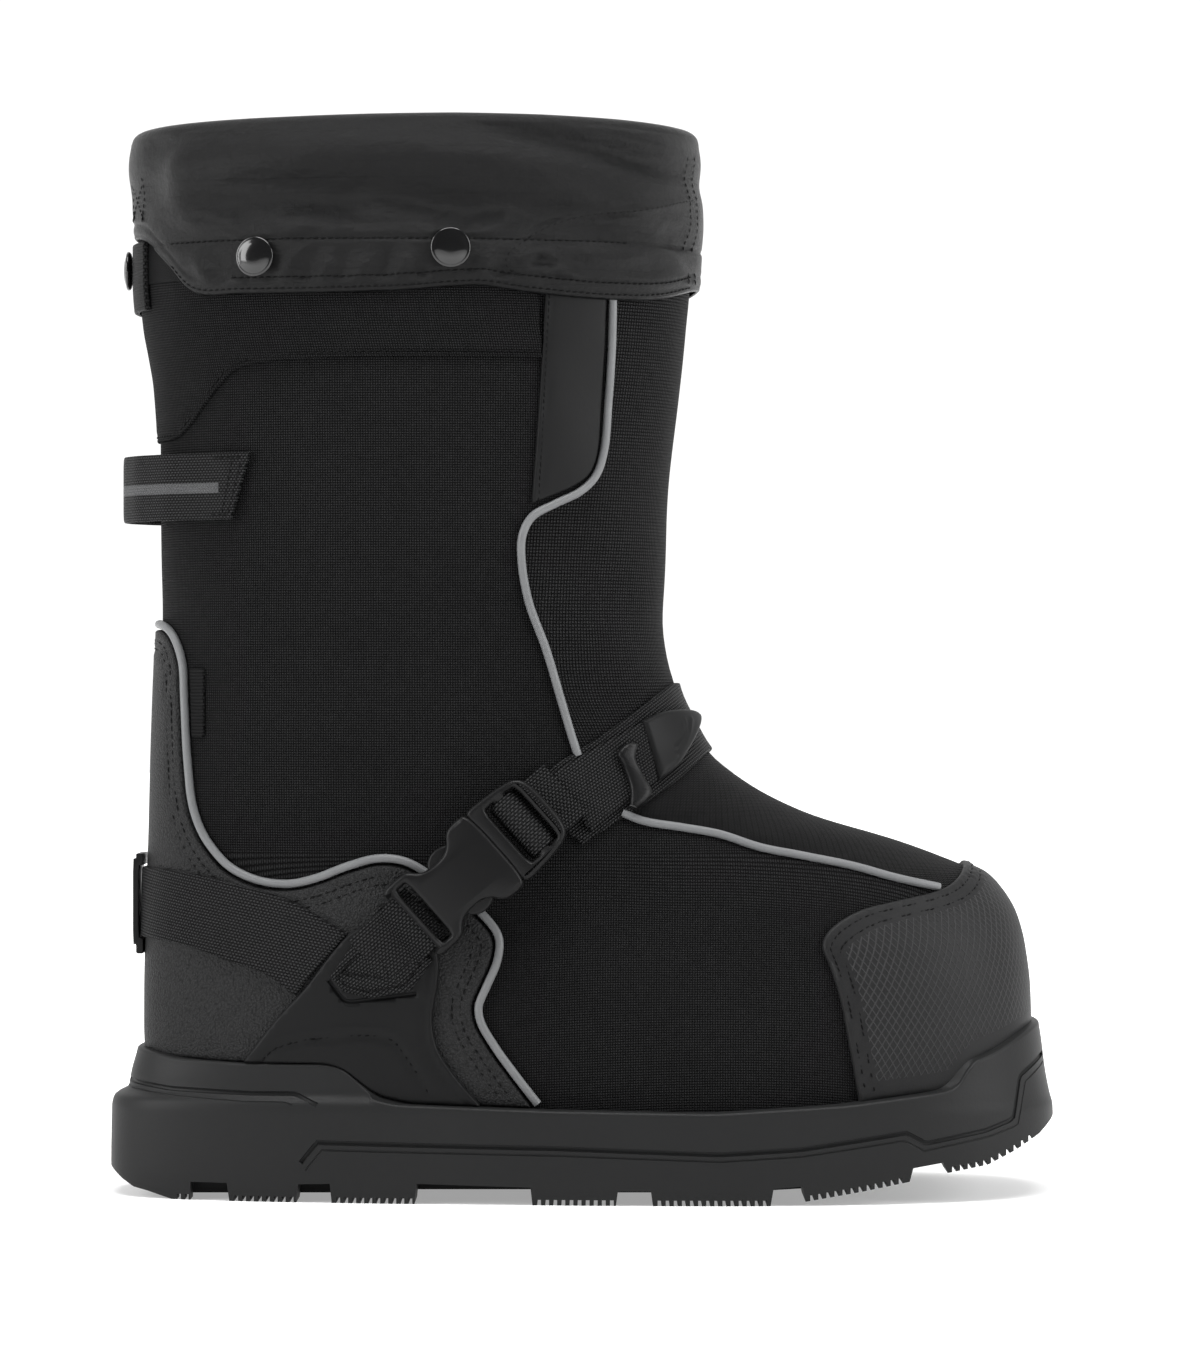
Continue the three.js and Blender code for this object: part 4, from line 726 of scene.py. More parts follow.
def open_tube(name, columns, rows, ends="NOTHING"):
    """A tube to be shaped: returns it with each vertex's share round it and share along it."""
    bpy.ops.object.select_all(action="DESELECT")
    bpy.ops.mesh.primitive_cylinder_add(vertices=columns, radius=1, depth=2, end_fill_type=ends)
    piece = bpy.context.object
    piece.name = piece.data.name = name
    co = get_points(piece)
    bpy.ops.object.mode_set(mode="EDIT")
    bpy.ops.mesh.select_mode(type="EDGE")
    bpy.ops.mesh.select_all(action="DESELECT")
    bpy.ops.object.mode_set(mode="OBJECT")
    for edge in piece.data.edges:
        a, b = edge.vertices
        edge.select = bool(abs(co[a, 2] - co[b, 2]) > 1)
    bpy.ops.object.mode_set(mode="EDIT")
    if rows > 1:
        bpy.ops.mesh.subdivide(number_cuts=rows - 1)
    bpy.ops.mesh.select_mode(type="VERT")
    bpy.ops.object.mode_set(mode="OBJECT")
    co = get_points(piece)
    turn = np.round((np.arctan2(co[:, 1], co[:, 0]) / (2 * math.pi)) % 1 * columns) % columns / columns
    return piece, turn, (co[:, 2] + 1) / 2


# %% [markdown]
# The shell is one tube on the last, from inside the sole up to the collar, thickened inwards by its felt
# lining. The front panel between the two pipings is a coarser weave, so its faces get their own finish and
# a pattern that runs along the instep, while the sides run straight up and down.

# %% outlines of the upper in shares
SOLE_TOP = [(0, 0.1410), (0.037, 0.136), (0.074, 0.130), (0.144, 0.127), (0.236, 0.1275), (0.255, 0.123),
            (0.272, 0.110), (0.291, 0.098), (0.322, 0.0915), (0.477, 0.087), (0.642, 0.085), (0.776, 0.092),
            (0.865, 0.1015), (0.886, 0.105), (0.898, 0.118), (0.903, 0.128), (0.935, 0.138), (0.966, 0.152),
            (0.985, 0.1605), (1.0, 0.163)]
COUNTER_EDGE = [(0, 0.530), (0.050, 0.530), (0.068, 0.522), (0.079, 0.500), (0.082, 0.462), (0.085, 0.407),
                (0.091, 0.360), (0.106, 0.328), (0.131, 0.303), (0.163, 0.290), (0.197, 0.287),
                (0.228, 0.293), (0.260, 0.304), (0.291, 0.311), (0.317, 0.308), (0.343, 0.294),
                (0.374, 0.275), (0.397, 0.257), (0.408, 0.242), (0.406, 0.224), (0.395, 0.201),
                (0.387, 0.183), (0.389, 0.166), (0.405, 0.141), (0.428, 0.113), (0.4495, 0.0885)]
CAP_EDGE = [(0.7855, 0.094), (0.776, 0.142), (0.766, 0.188), (0.756, 0.217), (0.748, 0.236), (0.752, 0.247),
            (0.764, 0.257), (0.788, 0.268), (0.822, 0.275), (0.862, 0.282), (0.882, 0.288), (0.896, 0.297),
            (0.903, 0.3055)]
YOKE_EDGE = [(0, 0.703), (0.050, 0.704), (0.076, 0.705), (0.092, 0.716), (0.109, 0.735), (0.125, 0.752),
             (0.142, 0.766), (0.166, 0.772), (0.210, 0.775), (0.313, 0.777), (0.4595, 0.777)]
PATCH = [(0.461, 0.868), (0.5225, 0.868), (0.5222, 0.785), (0.5195, 0.739), (0.5145, 0.690), (0.506, 0.671),
         (0.491, 0.660), (0.467, 0.650), (0.448, 0.643)]
FRONT_PIPING = [(0.5305, 0.850), (0.5295, 0.785), (0.5270, 0.739), (0.5220, 0.694), (0.5130, 0.670),
                (0.4970, 0.655), (0.4710, 0.643), (0.4480, 0.631), (0.4380, 0.614), (0.4370, 0.591),
                (0.4440, 0.554), (0.4620, 0.509), (0.4770, 0.463), (0.4880, 0.430), (0.4950, 0.411)]
VAMP_PIPING = [(0.5410, 0.3580), (0.5640, 0.3500), (0.6020, 0.3440), (0.6430, 0.3370), (0.6850, 0.3250),
               (0.7260, 0.3180), (0.7790, 0.3080), (0.8310, 0.2950), (0.8720, 0.2870)]


def mm(shares):
    return np.array(shares, float) * (LENGTH, HEIGHT)


top_x = np.arange(-4, 365, 1.0)
top_z = np.interp(top_x, *mm(SOLE_TOP).T)
top_z = np.convolve(np.pad(top_z, 3, mode="edge"), np.ones(7) / 7, mode="valid")


def sole_top(x):
    """Height of the top edge of the sole at this distance from the heel."""
    return np.interp(x, top_x, top_z)


def along_sole(start, end):
    x = np.linspace(start, end, max(3, int(abs(end - start) / 2.2)))
    return np.column_stack([x, sole_top(x) + 0.3])


# %% the woven shell
def weave_pattern(turn, z, points):
    """Straight up the sides: along the shoe from a line through the middle of the shaft, and up by height."""
    outer = turn <= 0.5
    girth = np.where(outer, np.interp(z, upper_last.heights, upper_last.girth[0]),
                     np.interp(z, upper_last.heights, upper_last.girth[1]))
    rows = np.unique(z)
    starts = {}
    for side in (-1, 1):
        t = upper_last.turn_at(np.full(len(rows), 115.0), rows, side)
        starts[side] = np.interp(z, rows, 2 * t if side < 0 else 2 * (1 - t))
    share = np.where(outer, 2 * turn, 2 * (1 - turn))
    u = (np.where(outer, starts[-1], starts[1]) - share) * girth
    slope = np.interp(z, [110, 130], [0.6, 0])
    return np.column_stack([u, z + slope * (62 - np.abs(points[:, 1]))])


shell_columns, shell_rows = ((252, 150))
shell, turn, along = open_tube("upper_shell", shell_columns, shell_rows)
rise = np.interp(along, np.linspace(0, 1, len(over_toe.rise)), over_toe.rise)
low_rise = np.interp(0.070 * HEIGHT, upper_last.heights, over_toe.rise)
high_rise = np.interp(0.962 * HEIGHT, upper_last.heights, over_toe.rise)
z = np.interp(low_rise + along * (high_rise - low_rise), over_toe.rise, upper_last.heights)
points, _ = on_upper(turn, z)
set_points(shell, points)
side_map = weave_pattern(turn, z, points)
keep_pattern(shell, side_map)

# the front panel is what lies ahead of the pipings
front_line = np.vstack([smooth_line(FRONT_PIPING, 2), smooth_line([FRONT_PIPING[-1], (0.512, 0.385), VAMP_PIPING[0]], 2),
                        smooth_line(VAMP_PIPING, 2)])
order = np.argsort(front_line[:, 1])


def is_front(points):
    return points[:, 0] > np.interp(points[:, 2], front_line[order, 1], front_line[order, 0])


shell.data.materials.append(shell_weave)
shell.data.materials.append(gusset_weave)
corner_of = np.zeros(len(shell.data.loops), int)
shell.data.loops.foreach_get("vertex_index", corner_of)
middles = np.array([points[list(p.vertices)].mean(0) for p in shell.data.polygons])
ahead = is_front(middles) & (middles[:, 2] > 0.28 * HEIGHT)
front_u = np.where(turn <= 0.5, turn * 2 * np.interp(z, upper_last.heights, upper_last.girth[0]),
                   -(1 - turn) * 2 * np.interp(z, upper_last.heights, upper_last.girth[1]))
front_map = np.column_stack([front_u, np.interp(z, upper_last.heights, over_toe.rise)])
uv = side_map[corner_of]
for polygon, is_ahead in zip(shell.data.polygons, ahead):
    polygon.material_index = int(is_ahead)
    if is_ahead:
        corners = list(polygon.loop_indices)
        uv[corners] = front_map[corner_of[corners]]
shell.data.uv_layers["pattern"].data.foreach_set("uv", (uv * 0.001).astype(np.float32).ravel())
print("shell faces:", len(middles), "of the front panel:", int(ahead.sum()))

# %% thickness and lining of the shell
outward(shell, 80)
shell.data.materials.append(lining_felt)
wall = shell.modifiers.new("wall", "SOLIDIFY")
wall.thickness, wall.offset, wall.material_offset, wall.material_offset_rim = 0.003, -1, 2, 0
take(shell)
bpy.ops.object.modifier_apply(modifier="wall")
for polygon in shell.data.polygons:
    polygon.material_index = min(polygon.material_index, 2)
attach(shell, "root")
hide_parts("upper")
print("shell with its lining:", len(shell.data.polygons), "faces")

# %% [markdown]
# Over the shell come the panels. The heel counter is coated leather round the heel, with a second stitch row
# inside its edge. The toe cap is rubber with a rolled border. The yoke is shell cloth again, folded under at
# its lower edge. The bare rubber patch sits beside the front piping on the outer side only.

# %% heel counter
counter_line = smooth_line(COUNTER_EDGE, 1.6)
counter_line = counter_line[counter_line[:, 1] > sole_top(counter_line[:, 0]) + 0.35]
counter_outline = np.vstack([counter_line, along_sole(counter_line[-1, 0], 0)])
counter_cut = round_both_sides(from_back, counter_outline)
counter_edge = [from_back.flat(counter_line, side) for side in (-1, 1)]
counter_rows = [beside(line, gap * sign) for line, sign in zip(counter_edge, (-1, 1)) for gap in (4.2, 7.4)]
counter_rows = [row if abs(row[0, 0]) < abs(row[-1, 0]) else row[::-1] for row in counter_rows]
counter_rows = [row[distance_to(row, counter_cut, True)[0] > 3.6] for row in counter_rows]
counter = sewn_panel("counter_panel", counter_cut, from_back, 0.5, 2.3, leather, "heel_counter",
                     ["heel_counter"], square=2.2, rolled=1.3,
                     seams=[(row, 0.6, 0.8) for row in counter_rows], belly=0.25)
sew("counter_stitches", [from_back.lift(row, 2.6) for row in counter_rows], "heel_counter")

# %% toe cap
cap_line = smooth_line(CAP_EDGE, 1.6)
cap_line = cap_line[cap_line[:, 1] > sole_top(cap_line[:, 0]) + 0.35]
cap_edge = [over_toe.flat(cap_line, side) for side in (-1, 1)]
cap_edge = [line[np.abs(line[:, 0]) > 0.4] for line in cap_edge]
cap_foot = [over_toe.flat(along_sole(360, 282.8), side) for side in (-1, 1)]
cap_foot = [line[np.abs(line[:, 0]) > 0.4] for line in cap_foot]
cap_cut = joined(cap_foot[0], cap_edge[0], cap_edge[1][::-1], cap_foot[1][::-1])
cap_border = joined(cap_edge[0], cap_edge[1][::-1])
cap_rows = [beside(cap_border, gap) for gap in (2.7, 5.9)]
cap_rows = [row[distance_to(row, np.vstack(cap_foot))[0] > 1.5] for row in cap_rows]
cap = sewn_panel("toe_cap_panel", cap_cut, over_toe, 0.2, 2.2, diamonds, "toe_cap", ["toe_cap"], square=2.0,
                 rolled=1.5, seams=[(row, 0.8, 0.85) for row in cap_rows])
sew("toe_cap_stitches", [over_toe.lift(row, 1.85) for row in cap_rows], "toe_cap", pitch=2.6, size=0.85)

# %% yoke and bare patch
yoke_line = smooth_line(YOKE_EDGE, 1.8)
yoke_top = np.column_stack([np.linspace(0.4595 * LENGTH, 0, 60), np.full(60, 0.905 * HEIGHT)])
yoke_cut = round_both_sides(from_back, np.vstack([yoke_line, yoke_top]))
yoke_edge = [from_back.flat(yoke_line, side) for side in (-1, 1)]
yoke_rows = []
for line in yoke_edge:
    up, down = beside(line, 2.0), beside(line, -2.0)
    yoke_rows.append(up if up[:, 1].mean() > down[:, 1].mean() else down)
yoke = sewn_panel("yoke_panel", yoke_cut, from_back, 0.15, 1.25, shell_weave, "yoke", ["yoke"], square=3.0,
                  rolled=0.9, seams=[(row, 0.65, 0.9) for row in yoke_rows])
sew("yoke_stitches", [from_back.lift(row, 1.15) for row in yoke_rows], "yoke")

patch_line = np.vstack([mm(PATCH[:2]), smooth_line(PATCH[2:], 1.8)])
patch_cut = joined(even_steps(from_front.flat(np.vstack([patch_line, patch_line[:1]]), -1), 1.8))
patch_row = beside(from_front.flat(even_steps(mm([PATCH[-1], PATCH[0], PATCH[1]]), 1.5), -1), 2.3)
patch = sewn_panel("patch_panel", patch_cut, from_front, 0.2, 1.75, smooth_rubber, "front_patch",
                   ["front_patch"], square=2.4, rolled=0.9, seams=[(patch_row, 0.35, 0.8)])
sew("patch_stitches", [from_front.lift(patch_row, 1.75)], "front_patch", pitch=2.6, size=0.85)

# %% pipings
def cut_away(piece, *cutters):
    for cutter in cutters:
        cut = piece.modifiers.new("cut", "BOOLEAN")
        cut.operation, cut.solver, cut.object = "DIFFERENCE", "MANIFOLD", cutter
        take(piece)
        before = len(piece.data.polygons)
        bpy.ops.object.modifier_apply(modifier="cut")
        print("cut with", cutter.name, before, "->", len(piece.data.polygons))
        bpy.data.objects.remove(cutter)


def round_cord(name, line_mm, radius, finish, slot, nodes, sides=3):
    """A thin round cord along points, made as a curve with a bevel and then turned into a mesh."""
    curve = bpy.data.curves.new(name, "CURVE")
    curve.dimensions, curve.bevel_depth, curve.bevel_resolution = "3D", radius * 0.001, sides
    curve.use_fill_caps = True
    spline = curve.splines.new("POLY")
    spline.points.add(len(line_mm) - 1)
    spline.points.foreach_set("co", np.column_stack([in_frame(line_mm), np.ones(len(line_mm))]).ravel())
    piece = bpy.data.objects.new(name, curve)
    bpy.context.scene.collection.objects.link(piece)
    take(piece)
    bpy.ops.object.convert(target="MESH")
    piece = bpy.context.object
    bpy.ops.object.mode_set(mode="EDIT")
    bpy.ops.mesh.select_all(action="SELECT")
    bpy.ops.mesh.remove_doubles(threshold=0.00002)
    bpy.ops.object.mode_set(mode="OBJECT")
    outward(piece, 50)
    return finish_piece(piece, finish, slot, *nodes) if finish else piece


for side, word in ((-1, "outer"), (1, "inner")):
    for label, shares in (("front", FRONT_PIPING), ("vamp", VAMP_PIPING)):
        flat = smooth_line(shares, 1.5)
        turn_here = upper_last.turn_at(flat[:, 0], flat[:, 1], side)
        line, _ = on_upper(turn_here, flat[:, 1], 1.15)
        node = f"{label}_piping_{word}"
        round_cord(node + "_cord", line, 1.6, piping_grey, node, [node])
pipe_line = smooth_line(COUNTER_EDGE[1:], 1.5)
ends = [beside(from_back.flat(pipe_line, side), 2.5 * (1 if side < 0 else -1)) for side in (-1, 1)]
ends = [line if abs(line[0, 0]) < abs(line[-1, 0]) else line[::-1] for line in ends]
round_heel = np.vstack([ends[0][::-1], ends[1]])
round_heel = round_heel[distance_to(round_heel, counter_cut, True)[0] > 1.8]
way_round, _ = from_back.lift(even_steps(round_heel, 1.6), 1.35)
round_cord("counter_piping_cord", way_round, 1.6, piping_grey, "counter_piping", ["counter_piping"])

# %% [markdown]
# The straps: woven webbing round the heel, a moulded rubber saddle on each side that anchors the instep strap,
# and the strap itself with its loose end, tip and keeper. All are panels on the last, each a little further
# out than what it lies on.

# %% saddles and heel strap
SADDLE = [(0.149, 0.127), (0.182, 0.165), (0.215, 0.1975), (0.2415, 0.2285), (0.262, 0.248), (0.283, 0.257),
          (0.310, 0.256), (0.332, 0.250), (0.349, 0.237), (0.3535, 0.222), (0.352, 0.200), (0.347, 0.169),
          (0.353, 0.142), (0.375, 0.113), (0.3985, 0.0895)]
SADDLE_ARC = [(0.169, 0.1285), (0.182, 0.140), (0.212, 0.149), (0.249, 0.153), (0.289, 0.154), (0.306, 0.150),
              (0.323, 0.131), (0.344, 0.101)]
ANCHOR_SLOT = [(0.2405, 0.2050), (0.2560, 0.1870), (0.2620, 0.1855), (0.3310, 0.1935)]
for side, word in ((-1, "outer"), (1, "inner")):
    edge_line = smooth_line(SADDLE, 1.6)
    edge_line = edge_line[edge_line[:, 1] > sole_top(edge_line[:, 0]) + 0.4]
    cut = joined(from_back.flat(np.vstack([edge_line, along_sole(edge_line[-1, 0], edge_line[0, 0])]), side))
    arc = from_back.flat(smooth_line(SADDLE_ARC, 1.5), side)
    right_edge = from_back.flat(smooth_line(SADDLE[8:], 1.5), side)
    rim = beside(right_edge, 3.4 if side < 0 else -3.4)
    if abs(rim[:, 0].mean()) > abs(right_edge[:, 0].mean()):
        rim = beside(right_edge, -3.4 if side < 0 else 3.4)
    saddle = sewn_panel(f"saddle_{word}_panel", cut, from_back, 3.1, 2.1, smooth_rubber, f"saddle_{word}",
                        [f"saddle_{word}"], square=1.7, rolled=1.3, seams=[(arc, 0.8, 0.9), (rim, 0.7, 0.8)],
                        ridges=[(beside(arc, 2.2), 0.25, 1.2), (right_edge, 0.35, 2.2)], belly=0.2)
    if side < 0:
        slot_flat = even_steps(from_back.flat(even_steps(mm(ANCHOR_SLOT), 1.5), side), 1.5)
        cut_away(saddle, round_cord("slot_below_tab", from_back.lift(slot_flat, 5.2)[0], 0.85, None, None, None))
    sew(f"saddle_{word}_stitches", [from_back.lift(arc, 4.75)], f"saddle_{word}")

HEEL_STRAP = [(0, 0.305), (0.079, 0.304), (0.144, 0.292), (0.197, 0.278), (0.2590, 0.2470)]
HEEL_STRAP_LOW = [(0.2045, 0.1900), (0.176, 0.209), (0.133, 0.222), (0.079, 0.237), (0, 0.241)]
strap_outline = np.vstack([smooth_line(HEEL_STRAP, 1.8),
                           even_steps(mm([HEEL_STRAP[-1], (0.2355, 0.2240), HEEL_STRAP_LOW[0]]), 1.8)[1:-1],
                           smooth_line(HEEL_STRAP_LOW, 1.8)])
sewn_panel("heel_strap_webbing", round_both_sides(from_back, strap_outline), from_back, 3.1, 1.8,
           strap_webbing, "heel_strap", ["heel_strap"], square=2.4, rolled=0.7, grain=-12)

# %% instep strap with its loose end, tip and keeper
STRAP_BAND = [(0.470, 0.4020), (0.525, 0.4330), (0.602, 0.483), (0.640, 0.5000)]
STRAP_BAND_LOW = [(0.665, 0.4400), (0.640, 0.4200), (0.600, 0.3880), (0.560, 0.3640), (0.500, 0.3300)]


def over_instep(line_up, line_low):
    """The strap crosses the middle, so its outline runs over the front from the outer to the inner side."""
    upper, lower = smooth_line(line_up, 1.8), smooth_line(line_low, 1.8)
    halves = []
    for side in (-1, 1):
        one, two = from_front.flat(upper, side), from_front.flat(lower, side)
        halves.append((one[np.abs(one[:, 0]) > 0.4], two[np.abs(two[:, 0]) > 0.4]))
    (outer_up, outer_low), (inner_up, inner_low) = halves
    middle_up, middle_low = [[(0.0, (a[i, 1] + b[i, 1]) / 2)] for a, b, i in
                             ((outer_up, inner_up, -1), (outer_low, inner_low, 0))]
    return joined(outer_up, middle_up, inner_up[::-1], inner_low[::-1], middle_low, outer_low)


band_cut = over_instep(STRAP_BAND, STRAP_BAND_LOW)
sewn_panel("instep_strap_webbing", band_cut, from_front, 0.3, 1.8, strap_webbing, "instep_strap",
           ["instep_strap"], square=2.4, rolled=0.7, grain=39)

STRAP_TIP = [(0.5560, 0.4410), (0.575, 0.4485), (0.596, 0.4495), (0.608, 0.4470), (0.6145, 0.4390),
             (0.6115, 0.4250), (0.5985, 0.4000), (0.5870, 0.3900), (0.5760, 0.3840)]
tip_line = np.vstack([smooth_line(STRAP_TIP, 1.5), even_steps(mm([STRAP_TIP[-1], STRAP_TIP[0]]), 1.5)[1:-1]])
tip_marks = [smooth_line(line, 1) for line in ([(0.5964, 0.4379), (0.5975, 0.4250), (0.5894, 0.4118)],
                                               [(0.6027, 0.4395), (0.6009, 0.4236), (0.5920, 0.4047)])]
sewn_panel("strap_tip_rubber", joined(from_front.flat(tip_line, -1)), from_front, 2.4, 3.2, smooth_rubber,
           "strap_tip", ["strap_tip"], square=0.8, rolled=1.6,
           ridges=[(from_front.flat(line, -1), 0.55, 0.55) for line in tip_marks])
STRAP_KEEPER = [(0.5310, 0.4110), (0.5410, 0.4205), (0.5500, 0.4185), (0.5490, 0.4050), (0.5590, 0.3860),
                (0.5680, 0.3710), (0.5570, 0.3605), (0.5480, 0.3590), (0.5460, 0.3760), (0.5380, 0.3960)]
keeper_cut = joined(from_front.flat(smooth_line(STRAP_KEEPER, 1.2, closed=True), -1))
sewn_panel("strap_keeper_moulding", keeper_cut, from_front, 4.9, 2.4, moulded_plastic, "strap_keeper",
           ["strap_keeper"], square=1.3, rolled=1.2)

# %% [markdown]
# The side-release buckle is moulded plastic. Its parts are drawn flat as outlines with their slots, given a
# thickness with rounded edges, and then set at the buckle's slant on the outer side of the instep.

# %% where the buckle lies
SEAT, HEADING, MIDDLE, STANDOFF = (0.3706, 0.2915), 42.2, 22.0, 5.9
seat_turn = upper_last.turn_at(SEAT[0] * LENGTH, SEAT[1] * HEIGHT, -1)[0]
seat_point, seat_normal = upper_last.spot(np.array([seat_turn]), np.array([SEAT[1] * HEIGHT]))
seat_point, seat_normal = seat_point[0], seat_normal[0]
axis = np.array([math.cos(math.radians(HEADING)), 0, math.sin(math.radians(HEADING))])
axis[1] = -(axis[0] * seat_normal[0] + axis[2] * seat_normal[2]) / seat_normal[1]
axis /= np.linalg.norm(axis)
across = np.cross(seat_normal, axis)
buckle_foot = seat_point + seat_normal * STANDOFF - axis * MIDDLE
buckle_axes = np.array([axis, across, seat_normal])


def in_buckle(points):
    """From the buckle's own millimetres (along, across, up) to the shoe's."""
    return buckle_foot + np.asarray(points) @ buckle_axes


def both_halves(half):
    return [*half, *[(u, -w) for u, w in reversed(half)]]


def softened(points, times=2, keep=0.22):
    """Rounds the corners of a closed outline by cutting them off, twice."""
    p = np.array(points, float)
    for _ in range(times):
        following = np.roll(p, -1, axis=0)
        p = np.stack([p * (1 - keep) + following * keep, p * keep + following * (1 - keep)], axis=1).reshape(-1, 2)
    return p


def moulding(name, outline, slots, low, high, rounding, finish=None, slot=None, nodes=(), sink=None):
    """A flat moulded part with rounded edges, from a filled outline with holes."""
    curve = bpy.data.curves.new(name, "CURVE")
    curve.dimensions, curve.fill_mode = "2D", "BOTH"
    curve.extrude = (high - low) / 2 - rounding
    curve.bevel_depth, curve.bevel_resolution, curve.offset = rounding, 3, -rounding
    for line in (outline, *slots):
        spline = curve.splines.new("POLY")
        spline.points.add(len(line) - 1)
        spline.points.foreach_set("co", np.column_stack([line, np.zeros(len(line)), np.ones(len(line))]).ravel())
        spline.use_cyclic_u = True
    piece = bpy.data.objects.new(name, curve)
    bpy.context.scene.collection.objects.link(piece)
    take(piece)
    bpy.ops.object.convert(target="MESH")
    piece = bpy.context.object
    bpy.ops.object.mode_set(mode="EDIT")
    bpy.ops.mesh.select_all(action="SELECT")
    bpy.ops.mesh.remove_doubles(threshold=0.01)
    bpy.ops.object.mode_set(mode="OBJECT")
    co = get_points(piece)
    co[:, 2] += (low + high) / 2
    if sink is not None:
        co[:, 2] += sink(co)
    set_points(piece, in_buckle(co))
    outward(piece, 40)
    return finish_piece(piece, finish, slot, *nodes) if finish else piece


# %% socket and prong frame
SOCKET = [(0.0, 14.0), (1.2, 15.6), (3.0, 16.1), (10.2, 16.1), (12.6, 15.4), (15.2, 12.4), (18.0, 10.9), (23.0, 10.4),
          (27.0, 10.9), (30.0, 12.8), (32.0, 15.6), (34.0, 17.0), (38.5, 17.5), (42.0, 17.0), (43.2, 14.5), (43.9, 9.0)]
SOCKET_SLOT = [(4.6, 13.1), (10.0, 13.1)]
THICK = 8.6
socket = moulding("buckle_socket_moulding", softened(both_halves(SOCKET)),
                  [softened(both_halves(SOCKET_SLOT), keep=0.12)], 0.0, THICK, 1.7, moulded_plastic,
                  "buckle_socket", ["buckle_socket"],
                  sink=lambda co: np.where(co[:, 2] > 4, -4.6 * ease((5.2 - co[:, 0]) / 4.5)
                                           * (np.abs(co[:, 1]) < 13.3) + 0.5 * np.exp(-((co[:, 0] - 41.5) / 2) ** 2), 0))
PRONG_FRAME = [(43.3, 8.0), (42.6, 14.0), (43.2, 16.6), (46.0, 17.2), (58.0, 16.2), (64.2, 14.8), (67.0, 12.4),
               (68.3, 7.0)]
NEAR_SLOT = [(48.8, 13.1), (54.2, 13.1)]
FAR_SLOT = [(58.7, 12.9), (63.6, 12.3)]
prong = moulding("buckle_prong_moulding", softened(both_halves(PRONG_FRAME)),
                 [softened(both_halves(NEAR_SLOT), keep=0.12), softened(both_halves(FAR_SLOT), keep=0.12)],
                 1.6, THICK - 0.3, 1.5, moulded_plastic, "buckle_prong", ["buckle_prong"],
                 sink=lambda co: -1.9 * np.exp(-((co[:, 0] - 56.5) / 3.2) ** 2) * (np.abs(co[:, 1]) < 13.4)
                 * (co[:, 2] > 4))
PRONG_ARM = [(18.5, 10.4), (20.0, 12.6), (22.5, 14.3), (26.0, 14.7), (29.5, 13.6), (33.0, 11.2), (33.0, 8.8),
             (24.0, 8.6), (19.6, 9.0)]
for sign, word in ((1, "upper"), (-1, "lower")):
    moulding(f"buckle_arm_{word}", softened([(u, sign * w) for u, w in PRONG_ARM]), [], 2.3, 6.3, 1.1,
             moulded_plastic, "buckle_prong")

# %% webbing through the buckle
def swept_strap(name, path, width, finish, slot, nodes, thick=1.8, shift=0.0, place=in_buckle, columns=24):
    """A strap of webbing swept along a path (along, up), with rounded selvedges and closed ends."""
    path = even_steps(smooth_path(path), 1.5)
    rows = len(path) - 1
    piece, turn, along = open_tube(name, columns, rows, ends="NGON")
    angle = turn * 2 * math.pi
    half = width / 2
    rim_y = np.sign(np.cos(angle)) * np.abs(np.cos(angle)) ** 0.28 * half
    rim_h = np.sign(np.sin(angle)) * np.abs(np.sin(angle)) ** 0.55 * thick / 2
    at = along * rows
    here = np.column_stack([np.interp(at, np.arange(rows + 1), path[:, k]) for k in (0, 1)])
    way = np.gradient(path, axis=0)
    way /= np.linalg.norm(way, axis=1, keepdims=True)
    way = np.column_stack([np.interp(at, np.arange(rows + 1), way[:, k]) for k in (0, 1)])
    up = np.column_stack([-way[:, 1], way[:, 0]])
    flat = here + up * (rim_h + thick / 2)[:, None]
    set_points(piece, place(np.column_stack([flat[:, 0], rim_y + shift, flat[:, 1]])))
    run = np.concatenate([[0], np.linalg.norm(np.diff(path, axis=0), axis=1).cumsum()])
    keep_pattern(piece, np.column_stack([np.interp(at, np.arange(rows + 1), run), rim_y]))
    outward(piece, 60)
    return finish_piece(piece, finish, slot, *nodes)


def smooth_path(points):
    p = np.array(points, float)
    t = np.concatenate([[0], np.linalg.norm(np.diff(p, axis=0), axis=1).cumsum()])
    fine = np.linspace(0, t[-1], 400)
    line = np.column_stack([np.interp(fine, t, p[:, k]) for k in range(p.shape[1])])
    pad = np.pad(line, ((9, 9), (0, 0)), mode="reflect", reflect_type="odd")
    return np.column_stack([np.convolve(pad[:, k], np.ones(19) / 19, mode="valid") for k in range(p.shape[1])])


def surface_under(u, out):
    """How high the shell, moved out, stands in the buckle's own frame at this place along it."""
    highest = []
    for w in (-12, 0, 12):
        p = in_buckle([u, w, 0])
        turn = upper_last.turn_at(p[0], p[2], -1)
        point, _ = on_upper(turn, np.array([p[2]]), out)
        highest.append(float((point[0] - buckle_foot) @ seat_normal))
    return max(highest) + 0.1


